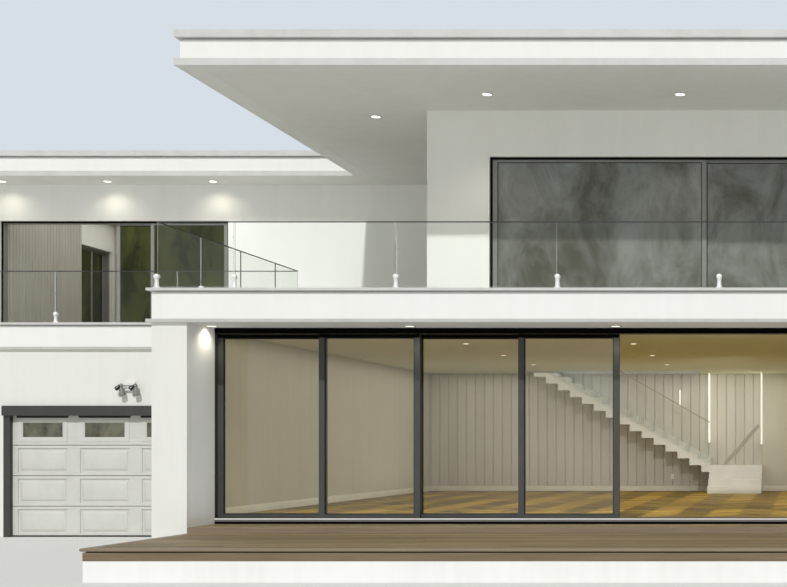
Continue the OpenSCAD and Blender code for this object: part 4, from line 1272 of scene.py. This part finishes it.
@dataclass
class EdgeDetails:
    """Sheet on the lips, straps on the copings, painted rims, roof membrane with seams, and pavers."""

    rim_t: float = 0.24
    rim_lip_h: float = 0.045
    roof_rim_t: float = 0.25
    roof_lip_h: float = 0.1
    sheet_t: float = 0.002
    strap_w: float = 0.06
    strap_t: float = 0.004
    strap_pitch: float = 3.0
    membrane_t: float = 0.006
    upturn_h: float = 0.055
    seam_pitch: float = 1.5
    seam_w: float = 0.08
    seam_t: float = 0.005
    seam_end: float = 0.05
    seam_tone: float = 0.9
    outlets: Pairs = ((-5.2, 0.4), (5.2, 0.4), (-12.0, 12.6), (4.0, 12.6))
    paver: float = 0.6
    paver_t: float = 0.028
    paver_gap: float = 0.004
    paver_edge: float = 0.06
    wall_gap: float = 0.02
    field_gap: float = 0.01

    def rim_path(self) -> list[list[float]]:
        """The balcony band's face, from the wing's front wall round to the rear of the upper storey.

        Returns:
            Its corners in plan.
        """
        slab, terrace = corners("first_floor_slab"), corners("terrace_slab")[0]
        x0, x1, y0 = slab[0, 0] - self.rim_t, slab[1, 0] + self.rim_t, slab[0, 1] - self.rim_t
        front, back = terrace[1] - self.rim_t, corners("ground_back_wall")[1, 1]
        return [[terrace[0], corners("wing_front_wall")[0, 1]], [terrace[0], front], [x0, front], [x0, y0],
                [x1, y0], [x1, back], [corners("upper_front_wall")[1, 0], back]]

    def roof_path(self) -> list[list[float]]:
        """The roof band's face, with the house on the left.

        Returns:
            Its corners in plan.
        """
        (x0, y0), (x1, y1) = corners("roof_slab")[:, :2] + np.array([[-1], [1]]) * self.roof_rim_t
        wing_x, wing_y = corners("wing_roof_slab")[0, :2] - self.roof_rim_t
        return [[x0, wing_y], [x0, y0], [x1, y0], [x1, y1], [wing_x, y1], [wing_x, wing_y]]

    def straps(self, path: list[list[float]], reach: float, out: float, z0: float, z1: float) -> Shape:
        """Flat cover strips over a coping, at even steps along each side of its path.

        Args:
            path: Plan path of the band's face, with the house on its left.
            reach: Width of the coping.
            out: How far the coping stands out from the path.
            z0: Height of the coping's underside.
            z1: Height of its top.

        Returns:
            Points and faces.
        """
        starts, ends, ups = [], [], []
        for a, b in zip(np.array(path[:-1]), np.array(path[1:])):
            length = np.linalg.norm(b - a)
            x, y = (b - a) / length
            outward = np.array([y, -x])
            count = max(1, round(length / self.strap_pitch))
            for t in (np.arange(count) + 0.5) / count:
                spot = a + t * (b - a) + outward * out
                edge = spot + outward * 0.001
                starts += [[*edge, z1 + 0.001], [*edge, z0]]
                ends += [[*(spot - outward * reach), z1 + 0.001], [*edge, z1 + 0.002]]
                ups += [UP, [*outward, 0]]
        return bars(np.array(starts), np.array(ends), self.strap_w, self.strap_t, 0.0012, np.array(ups))

    def edge(self, name: str, path: list[list[float]], closed: bool, rim: float, lip_h: float,
             finish: Finish) -> Pieces:
        """A coping's straps, a sheet folded over the band's lower lip and the painted underside of its rim.

        Args:
            name: First part of the names of the band's pieces.
            path: Plan path of the band's face, with the house on its left.
            closed: Whether the path ends where it starts.
            rim: Thickness of the rim inwards from the path.
            lip_h: Height of the lip.
            finish: Finish of the sheet.

        Returns:
            The pieces, one by one.
        """
        low, high = corners(f"{name}_coping")
        out = np.array(path)[:, 1].min() - low[1]
        straps = self.straps([*path, path[0]] if closed else path, 1.5 * out + rim, out, low[2], high[2])
        yield add_piece(f"{name}_coping_straps", straps, COPING_SHEET, Slot.COPING)
        t, z0 = self.sheet_t, corners(f"{name}_edge")[0, 2]
        z1 = z0 + lip_h
        fold = ((out - 0.012, z0 - t), (out, z0 - t), (out + t, z0), (out + t, z1), (out, z1 + t),
                (-0.01, z1 + t), (-0.01, z1 - 0.004), (out - 0.012, z1 - 0.004))
        yield add_piece(f"{name}_lip_sheet", sweep(fold, path, closed), finish, Slot.COPING)
        under = oblong(out - 0.014, -rim - 0.01, z0 - 0.0025, z0 + 0.002)
        yield add_piece(f"{name}_rim_soffit", sweep(under, path, closed), SOFFIT_PAINT, Slot.RENDER)

    def build(self) -> Pieces:
        """Makes the lips, straps, membrane with its seams and outlets, and the pavers.

        Returns:
            The pieces, one by one.
        """
        yield from self.edge("roof", self.roof_path(), True, self.roof_rim_t, self.roof_lip_h, COPING_SHEET)
        yield from self.edge("balcony", self.rim_path(), False, self.rim_t, self.rim_lip_h, LIP_SHEET)
        yield from self.membrane()
        yield self.pavers()

    def membrane(self) -> Pieces:
        """The sheet over the roof slabs with a turn-up at the rim, its seams and its outlets.

        Returns:
            The pieces, one by one.
        """
        (x0, y0, _), (x1, y1, z) = corners("roof_slab")
        wing_x, wing_y, _ = corners("wing_roof_slab")[0]
        path = (x0, wing_y), (x0, y0), (x1, y0), (x1, y1), (wing_x, y1), (wing_x, wing_y)
        head = z + self.upturn_h
        upturn = ((0.0, z - 0.004), (0.0, head), (-0.006, head), (-0.03, z + 0.012), (-0.12, z + 0.006),
                  (-0.12, z - 0.004))
        depth = y1 - np.array([y0, wing_y])
        y = y1 - depth / 2
        sheets = bars(at([x0, wing_x], y, z + 0.001), at([x1, x0], y, z + 0.001), depth - 0.02,
                      self.membrane_t)
        shape = merged(sweep(upturn, path, True), sheets)
        yield add_piece("roof_membrane", shape, ROOF_MEMBRANE, Slot.ROOF)
        x = np.arange(wing_x + self.seam_pitch, x1, self.seam_pitch)
        front, rear = np.where(x < x0, wing_y, y0) + self.seam_end, y1 - self.seam_end
        seams = bars(at(x, front, z + self.seam_t), at(x, rear, z + self.seam_t), self.seam_w, self.seam_t)
        tone = np.full(len(x) * BAR_POINTS, self.seam_tone)
        yield add_piece("roof_seams", seams, ROOF_MEMBRANE, Slot.ROOF, tone=tone)
        dish = (0.02, 0.0), (0.02, 0.014), (0.07, 0.012), (0.11, 0.004), (0.115, 0.0)
        spots = at(*np.array(self.outlets).T, z + 0.003)
        yield add_piece("roof_outlets", lathe(dish, spots, 24), RUBBER, Slot.ROOF)

    def pavers(self) -> bpy.types.Object:
        """Square pavers on the balcony and the terrace, up to the walls and the edge beam.

        Returns:
            The pavers, as one piece.
        """
        edge, joint, slab = self.paver_edge, self.paver_gap / 2, corners("first_floor_slab")
        z = slab[1, 2] + self.paver_t / 2
        (x0, y0), (x1, _) = slab[:, :2] + np.array([[edge], [-edge]])
        wall, terrace = corners("upper_front_wall"), corners("terrace_slab")[0]
        gap, split = self.wall_gap, self.field_gap
        y1, wing_y = wall[0, 1] - gap, corners("wing_front_wall")[0, 1] - gap
        rear_y = corners("stairwell_slabs")[1, 1] - self.rim_t - edge
        starts, ends, widths = [], [], []
        for x0, y0, x1, y1 in (
                (x0, y0, x1, y1), (x0, y1 + split, wall[0, 0] - gap, wing_y),
                (wall[1, 0] + gap, y1 + split, x1, rear_y),
                (terrace[0] + self.rim_t + edge, terrace[1] + edge, x0 - split, wing_y)):
            columns, rows = round((x1 - x0) / self.paver), round((y1 - y0) / self.paver)
            dx, dy = (x1 - x0) / columns, (y1 - y0) / rows
            i, j = (grid.ravel() for grid in np.meshgrid(np.arange(columns), np.arange(rows)))
            x, y = x0 + i * dx, y0 + (j + 0.5) * dy
            starts.append(at(x + joint, y, z))
            ends.append(at(x + dx - joint, y, z))
            widths.append(np.full(len(x), dy - self.paver_gap))
        widths = np.concatenate(widths)
        shape = bars(np.concatenate(starts), np.concatenate(ends), widths, self.paver_t, 0.003)
        return add_piece("balcony_pavers", shape, PAVER, Slot.CONCRETE, tone=tones(len(widths), 23))


@dataclass
class Rooms:
    """What shows inside: parquet, boarded and plastered walls, ceiling, skirting and the wing's boards."""

    half_w: float = 7.78
    front_y: float = 0.12
    back_y: float = 12.58
    living_z: tuple[float, float] = (0.605, 3.533)
    wing_z: tuple[float, float] = (3.93, 7.3)
    strip_l: float = 0.72
    strip_w: float = 0.12
    strip_t: float = 0.008
    strip_gap: float = 0.002
    strip_steps: int = 150
    board_t: float = 0.03
    board_w: float = 0.225
    wing_board_w: float = 0.12
    wing_left: Pairs = ((-15.72, 8.17), (-15.72, 11.06))
    wing_back_x: tuple[float, float] = (-15.7, -13.3)
    joint: float = 0.008
    board_ease: float = 0.013
    boards_end: float = 0.53
    rear_window: tuple[float, float, float, float] = (2.85, 5.25, 1.5, 3.0)
    well_y: float = 11.4
    plaster_t: float = 0.01
    plaster_z: float = 2.07
    plaster_h: float = 2.92
    switch: tuple[Triple, Triple] = ((-1.76, 12.564, 0.963), (-1.68, 12.564, 0.963))
    switch_t: float = 0.014
    switch_h: float = 0.13
    skirting: Pairs = ((0.0, 0.6), (0.0, 0.72), (0.01, 0.725), (0.018, 0.71), (0.02, 0.6))

    def parquet(self) -> Pieces:
        """Herringbone parquet of the living room.

        Strips of one row lie at 45 degrees to the front, and each next strip is moved by its width along the
        row's zigzag. Rows are a strip's length times the square root of 2 apart.

        Returns:
            The strips that lean to the left, then those that lean to the right.
        """
        low, high = np.array([-self.half_w, self.front_y + 0.01]), np.array([self.half_w, self.back_y])
        z = self.living_z[0] - 0.0015 - self.strip_t / 2
        ratio = round(self.strip_l / self.strip_w)
        step = np.arange(-self.strip_steps, self.strip_steps + 1)
        i, j = np.meshgrid(step, step, indexing="ij")
        axis_u = np.array([1.0, 1.0]) / math.sqrt(2)
        axis_v = axis_u * [-1.0, 1.0]
        # Strips leaning left take the lit copy of the oak and those leaning right the shaded one: painted
        # sheen
        for name, finish, phase, along, seed in (("parquet_left", OAK_LEFT_LIT, 0, axis_u, 31),
                                                 ("parquet_right", OAK_RIGHT_SHADED, ratio, axis_v, 32)):
            take = (i - j) % (2 * ratio) == phase
            move_u, move_v = (0.5, 1 - ratio / 2) if phase else (ratio / 2, 0.5)
            steps = np.outer(i[take] + move_u, axis_u) + np.outer(j[take] + move_v, axis_v)
            middle = (low + high) / 2 + self.strip_w * steps
            reach = self.strip_l / 2 * np.abs(along) + self.strip_w / 2 * np.abs(along[::-1])
            middle = middle[((middle - reach > low) & (middle + reach < high)).all(1)]
            half = along * (self.strip_l - self.strip_gap) / 2
            shape = bars(at(*(middle - half).T, z), at(*(middle + half).T, z), self.strip_w - self.strip_gap,
                         self.strip_t, 0.0015)
            yield add_piece(name, shape, finish, Slot.PARQUET, tone=tones(len(middle), seed))

    def boards(self, name: str, start: tuple[float, float], end: tuple[float, float], facing: np.ndarray,
               levels: tuple[float, float], finish: Finish, width: float, seed: int) -> bpy.types.Object:
        """Vertical boards with soft V joints on a wall.

        Args:
            name: Name of the piece.
            start: Start of the wall's face in plan.
            end: End of the wall's face in plan.
            facing: Unit direction into the room.
            levels: Heights of the boards' foot and head.
            finish: Finish of the boards.
            width: About how wide a board is.
            seed: Seed of their tones.

        Returns:
            The boards.
        """
        run = np.subtract(end, start)
        count = round(np.linalg.norm(run) / width)
        step = run / count
        plan = start + (np.arange(count)[:, None] + 0.5) * step + facing[:2] * (self.board_t / 2 - 0.002)
        foot, head = levels
        shape = bars(at(*plan.T, foot), at(*plan.T, head), np.linalg.norm(step) - self.joint, self.board_t,
                     self.board_ease, facing)
        return add_piece(name, shape, finish, Slot.RENDER, tone=tones(count, seed))

    def back_plaster(self) -> bpy.types.Object:
        """Four strips of plaster round the rear window, beside the boards.

        Returns:
            The plaster.
        """
        (z0, z1), (a, b, sill, head), y = self.living_z, self.rear_window, self.back_y + 0.015
        spans = [(self.boards_end, a, z0, z1), (b, self.half_w, z0, z1), (a, b, z0, sill), (a, b, head, z1)]
        x0, x1, z0, z1 = np.array(spans).T
        middle = (x0 + x1) / 2
        shape = bars(at(middle, y, z0), at(middle, y, z1), x1 - x0, self.plaster_t, up=-Y)
        return add_piece("living_back_plaster", shape, ROOM_PLASTER, Slot.RENDER)

    def build(self) -> Pieces:
        """Makes the floor, the wall linings, the ceiling, the skirting and a switch plate.

        Returns:
            The pieces, one by one.
        """
        yield from self.parquet()
        wall_y = self.back_y + 0.02
        yield self.boards("living_back_boards", (-self.half_w, wall_y), (self.boards_end, wall_y), -Y,
                          self.living_z, ROOM_BOARDS, self.board_w, 41)
        yield self.back_plaster()
        switch = bars(*self.switch, self.switch_t, self.switch_h)
        yield add_piece("wall_switch_plate", switch, BAND_PAINT, Slot.RENDER)
        a, b = self.wing_back_x
        for name, start, end, facing, seed in (("left", *self.wing_left, X, 43),
                                               ("back", (a, wall_y), (b, wall_y), -Y, 44)):
            yield self.boards(f"wing_{name}_boards", start, end, facing, self.wing_z, WING_BOARDS,
                              self.wing_board_w, seed)
        # Both side walls take the darker copy of the plaster: painted shade
        for side, name in ((-1, "living_left_plaster"), (1, "living_right_plaster")):
            x, z = side * (self.half_w + 0.016), self.plaster_z
            plaster = bars((x, self.front_y, z), (x, self.back_y, z), self.plaster_t, self.plaster_h, 0.003)
            yield add_piece(name, plaster, ROOM_PLASTER_SHADED, Slot.RENDER)
        yield from self.levels()
        x, y = self.half_w + 0.01, self.back_y + 0.005
        path = (-x, self.front_y), (-x, y), (x, y), (x, self.front_y)
        yield add_piece("living_skirting", sweep(self.skirting, path), SKIRTING, Slot.RENDER)

    def levels(self) -> Pieces:
        """The living room's ceiling and the upper storey's floor, with the stairwell left open in both.

        Returns:
            The two pieces.
        """
        well_x0, well_x1 = corners("stair_upper_flight")[0, 0], islands("stairwell_slabs")[-1, 0, 0]
        x, y, back = self.half_w + 0.01, self.well_y, self.back_y
        ceiling = ((-x, self.front_y + 0.005, x, y), (-x, y, well_x0, back), (well_x1, y, x, back))
        floor = ((-4.46, 1.9, 4.46, y), (well_x1, y, 4.46, back), (-15.7, 8.17, -4.47, y),
                 (-15.7, y, well_x0, back))
        for name, z, thick, finish, slot, zones in (
                ("living_ceiling", 3.5375, 0.007, CEILING_PAINT, Slot.RENDER, ceiling),
                ("upper_floor", 3.906, 0.012, OAK_BASE, Slot.PARQUET, floor)):
            x0, y0, x1, y1 = np.array(zones).T
            middle = (y0 + y1) / 2
            shape = bars(at(x0, middle, z), at(x1, middle, z), y1 - y0, thick)
            yield add_piece(name, shape, finish, slot)


@dataclass
class StairDetails:
    """Glass fins beside the stair that glow as painted light, its glass, its board on the wall and the
    landing's rail.
    """

    # Each fin's place across, its front, the height of its middle and how tall it is
    fins: tuple[tuple[float, float, float, float], ...] = (
        (-0.78, 12.1, 2.67, 1.72), (0.53, 11.52, 2.65, 1.76), (-1.52, 12.35, 2.92, 0.41))
    fin_t: float = 0.016
    fin_end: float = 12.57
    rise: float = 0.569
    string_start: Triple = (-0.75, 12.563, 1.43)
    string_h: float = 0.26
    string_l: float = 4.7
    string_t: float = 0.02
    rail_ends: tuple[Triple, Triple] = ((-0.35, 11.6, 1.287), (0.477, 11.6, 2.235))
    rail_w: float = 0.085
    rail_t: float = 0.03
    glass_t: float = 0.010
    edge_cut: float = 0.0015

    def balustrade(self) -> bpy.types.Object:
        """The glass in front of the flight, a few millimetres off its side.

        A point is start + t run + s height, where t and s go round the sheet's outline, for four rings
        through its thickness. The outer rings are drawn in by the width of the ground edge.

        Returns:
            The glass.
        """
        low, high = corners("stair_glass")
        run = np.array([low[0] - high[0], 0.0, (high[0] - low[0]) * self.rise])
        height = UP * (high[2] - low[2] - run[2])
        t, s = np.array([[0.0, 1.0, 1.0, 0.0], [0.0, 0.0, 1.0, 1.0]])
        cut = np.array([self.edge_cut, 0.0, 0.0, self.edge_cut])[:, None]
        across = (t + (1 - 2 * t) * cut / np.linalg.norm(run))[..., None] * run
        upward = (s + (1 - 2 * s) * cut / height[2])[..., None] * height
        points = np.array([high[0], 0.0, low[2]]) + across + upward
        depth = np.array([0.0, self.edge_cut, self.glass_t - self.edge_cut, self.glass_t])
        points[..., 1] = low[1] + depth[:, None]
        faces = lattice(1, 4, 4, False, True).tolist() + [[3, 2, 1, 0], [12, 13, 14, 15]]
        pane = add_piece("stair_glass_pane", (points, faces), STAIR_GLASS, Slot.GLASS)
        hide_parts("stair_glass")
        return pane

    def build(self) -> Pieces:
        """Makes the fins, the glass, the landing's rail and the board on the wall.

        Returns:
            The pieces, one by one.
        """
        # The fins glow by emission: painted light
        x, y, z, height = np.array(self.fins).T
        fins = bars(at(x, y, z), at(x, self.fin_end, z), self.fin_t, height)
        yield add_piece("stair_fins", fins, FIN_GLOW_GLASS, Slot.GLASS)
        yield self.balustrade()
        rail = bars(*self.rail_ends, self.rail_w, self.rail_t, 0.006, Y)
        yield add_piece("stair_landing_rail", rail, LANDING_RAIL, Slot.FITTING)
        # The board against the wall follows the steps' front edges
        slope, across = np.array([[-1, 0, self.rise], [self.rise, 0, 1]]) / math.hypot(1, self.rise)
        start = self.string_start - across * self.string_h / 2
        string = bars(start, start + slope * self.string_l, self.string_t, self.string_h, 0.003, across)
        yield add_piece("stair_wall_string", string, STAIR_PAINT, Slot.RENDER)


@dataclass
class RailingDetails:
    """Turned clamps of the railing's panes: bell foot, neck, round head and a bolt cap on each side."""

    head_z: float = 0.185
    head_r: float = 0.04
    half_l: float = 0.036
    foot_r: float = 0.07

    def build(self) -> Pieces:
        """Makes the clamps, each head across the run of panes that its clamp stands in.

        Returns:
            The one piece.
        """
        spots = islands("railing_clamps").mean(1)
        spots[:, 2] = corners("railing_clamps")[0, 2]
        near = np.abs(spots[:, None, :2] - spots[None, :, :2]) < 0.01
        side_run = near[..., 0].sum(1) > near[..., 1].sum(1)
        r, h = self.head_r, self.half_l
        foot = ((TINY_R, 0.0), (self.foot_r, 0.0), (self.foot_r, 0.010), (0.060, 0.020), (0.042, 0.030),
                (0.036, 0.045), (0.030, 0.120), (0.034, 0.15), (TINY_R, 0.15))
        head = (TINY_R, -h), (r - 0.006, -h), (r, 0.006 - h), (r, h - 0.006), (r - 0.006, h), (TINY_R, h)
        cap = ((TINY_R, h - 0.002), (0.024, h - 0.002), (0.024, h + 0.003), (0.016, h + 0.007),
               (TINY_R, h + 0.008))
        heads = [lathe(profile, spots[rows] + UP * self.head_z, 20, way)
                 for rows, axis in ((~side_run, Y), (side_run, X))
                 for profile, way in ((head, axis), (cap, axis), (cap, -axis))]
        clamps = merged(lathe(foot, spots, 24), *heads)
        made = add_piece("railing_clamps_turned", clamps, FITTING, Slot.FITTING)
        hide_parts("railing_clamps")
        yield made


@dataclass
class Floodlight:
    """Twin floodlight: a wall box, a crossbar with two ball joints, two hanging hoods and two dark eyes."""

    place: Triple = (-11.15, 4.4, 2.85)
    box_w: float = 0.19
    box_d: float = 0.06
    out: float = 0.11
    span: float = 0.268
    rod_r: float = 0.011
    joint_r: float = 0.042
    hood_r: float = 0.058
    hood_l: float = 0.18
    hood_neck: float = 0.030
    eye_r: float = 0.04
    eye_l: float = 0.12
    hood_way: Triple = (0.139, 0.0, -0.990)
    eye_way: Triple = (-0.742, -0.346, -0.574)

    def build(self) -> Pieces:
        """Makes the box, the crossbar with its joints and hoods, and the eyes.

        Returns:
            The pieces, one by one.
        """
        x, y, z = self.place
        back = bars((x, y, z), (x, y - self.box_d, z), self.box_w, self.box_w, 0.012)
        box = add_piece("floodlight_box", back, BAND_PAINT, Slot.FITTING)
        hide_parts("floodlight")
        yield box
        joints = at([x - self.span / 2, x + self.span / 2], y - self.out, z)
        turn = np.linspace(-np.pi / 2, np.pi / 2, 12)
        ball = np.stack([np.maximum(self.joint_r * np.cos(turn), TINY_R), self.joint_r * np.sin(turn)], 1)
        r = self.rod_r
        rod, stem = (((TINY_R, 0.0), (r, 0.0), (r, length), (TINY_R, length))
                     for length in (self.span, self.out - 0.01))
        # The hood swells from the joint like a drop and ends in a rim round a hollow
        s = np.linspace(0.0, 1.0, 9)
        swell = self.hood_neck + (self.hood_r - self.hood_neck) * np.sin(s * np.pi / 2) ** 1.3
        hood = (*zip(swell, s * self.hood_l), (self.hood_r - 0.008, self.hood_l - 0.002),
                (self.hood_r - 0.012, self.hood_l - 0.03), (TINY_R, self.hood_l - 0.034), (TINY_R, 0.0))
        heads = merged(lathe(ball, joints, 24), lathe(rod, joints[0], 16, X),
                       lathe(stem, np.array([x, y - 0.01, z]), 16, -Y),
                       lathe(hood, joints, 28, np.array(self.hood_way)))
        yield add_piece("floodlight_heads", heads, DIE_CAST, Slot.FITTING)
        r, length, way = self.eye_r, self.eye_l, np.array(self.eye_way)
        eye = ((TINY_R, 0.0), (r * 0.8, 0.0), (r, 0.02), (r, length - 0.012), (r - 0.012, length),
               (TINY_R, length))
        eyes = lathe(eye, joints, 24, way / np.linalg.norm(way))
        yield add_piece("floodlight_eyes", eyes, DARK_LENS, Slot.FRAME)


@dataclass
class Lamps:
    """Round downlights with a steel rim and a lit lens, and their light."""

    porch_w: float = 14.0
    roof_w: float = 30.0
    wing_w: float = 16.0
    room_w: float = 40.0
    glow: str = "#FFF6E4"
    wide_deg: float = 150.0
    roof_deg: float = 110.0
    soft: float = 0.7
    wing_soft: float = 1.0
    storey_z: float = 5.0
    wing_x: float = -8.0
    rear_y: float = 6.0
    glow_r: float = 0.05
    drop: float = 0.03

    def build(self) -> Pieces:
        """Makes all rims and lenses in two pieces and puts a lamp under each.

        Returns:
            The two pieces.
        """
        discs = islands("downlights")
        top = at(*discs.mean(1)[:, :2].T, discs[:, 1, 2])
        width, _, d = discs[0, 1] - discs[0, 0]
        r = width / 2
        rim = ((r, 0.0), (r, -d * 0.6), (r - 0.004, -d), (r - 0.012, -d), (r - 0.016, -d * 0.5),
               (r - 0.016, 0.0))
        rims = add_piece("downlight_rims", lathe(rim, top, 32), STEEL, Slot.LAMP)
        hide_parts("downlights")
        yield rims
        lens = ((TINY_R, -d * 0.75), (0.03, -d * 0.72), (r - 0.0165, -d * 0.45), (r - 0.0165, -0.001),
                (TINY_R, -0.001))
        yield add_piece("downlight_lenses", lathe(lens, top, 24), LENS, Slot.LAMP)
        for number, spot in enumerate(top):
            self.light(number, spot)

    def light(self, number: int, spot: np.ndarray) -> None:
        """Puts a spot lamp under one downlight, as strong as its place in the house asks.

        Args:
            number: Number of the downlight.
            spot: Middle of its top.
        """
        x, y, z = spot
        wide, blend = self.wide_deg, self.soft
        if z < self.storey_z:
            power = self.porch_w if y < 0 else self.room_w
        elif x < self.wing_x or y > self.rear_y:
            power, blend = self.wing_w, self.wing_soft
        else:
            power, wide = self.roof_w, self.roof_deg
        add_lamp(f"downlight_{number}", "SPOT", (x, y, z - self.drop), (0, 0, -1), power, self.glow,
                 spot_size=math.radians(wide), spot_blend=blend, shadow_soft_size=self.glow_r)


def main() -> None:
    """Builds the scene in order and reports each piece."""
    logging.basicConfig(level=logging.INFO, format="%(message)s")
    PhotographCamera().build()
    Studio().build()
    Carcass().build()
    for part in (Deck(), GarageDoor(), Glazing(), EdgeDetails(), Rooms(), StairDetails(), RailingDetails(),
                 Floodlight(), Lamps()):
        for piece in part.build():
            LOG.info("%s: %s with %d faces", type(part).__name__, piece.name, len(piece.data.polygons))
    boxes = {"cad": CAD_BOX, "visual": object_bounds()}
    ({name: [list(map(float, corner)) for corner in box[:2]]
               for name, box in boxes.items()})


if __name__ == "__main__":
    main()
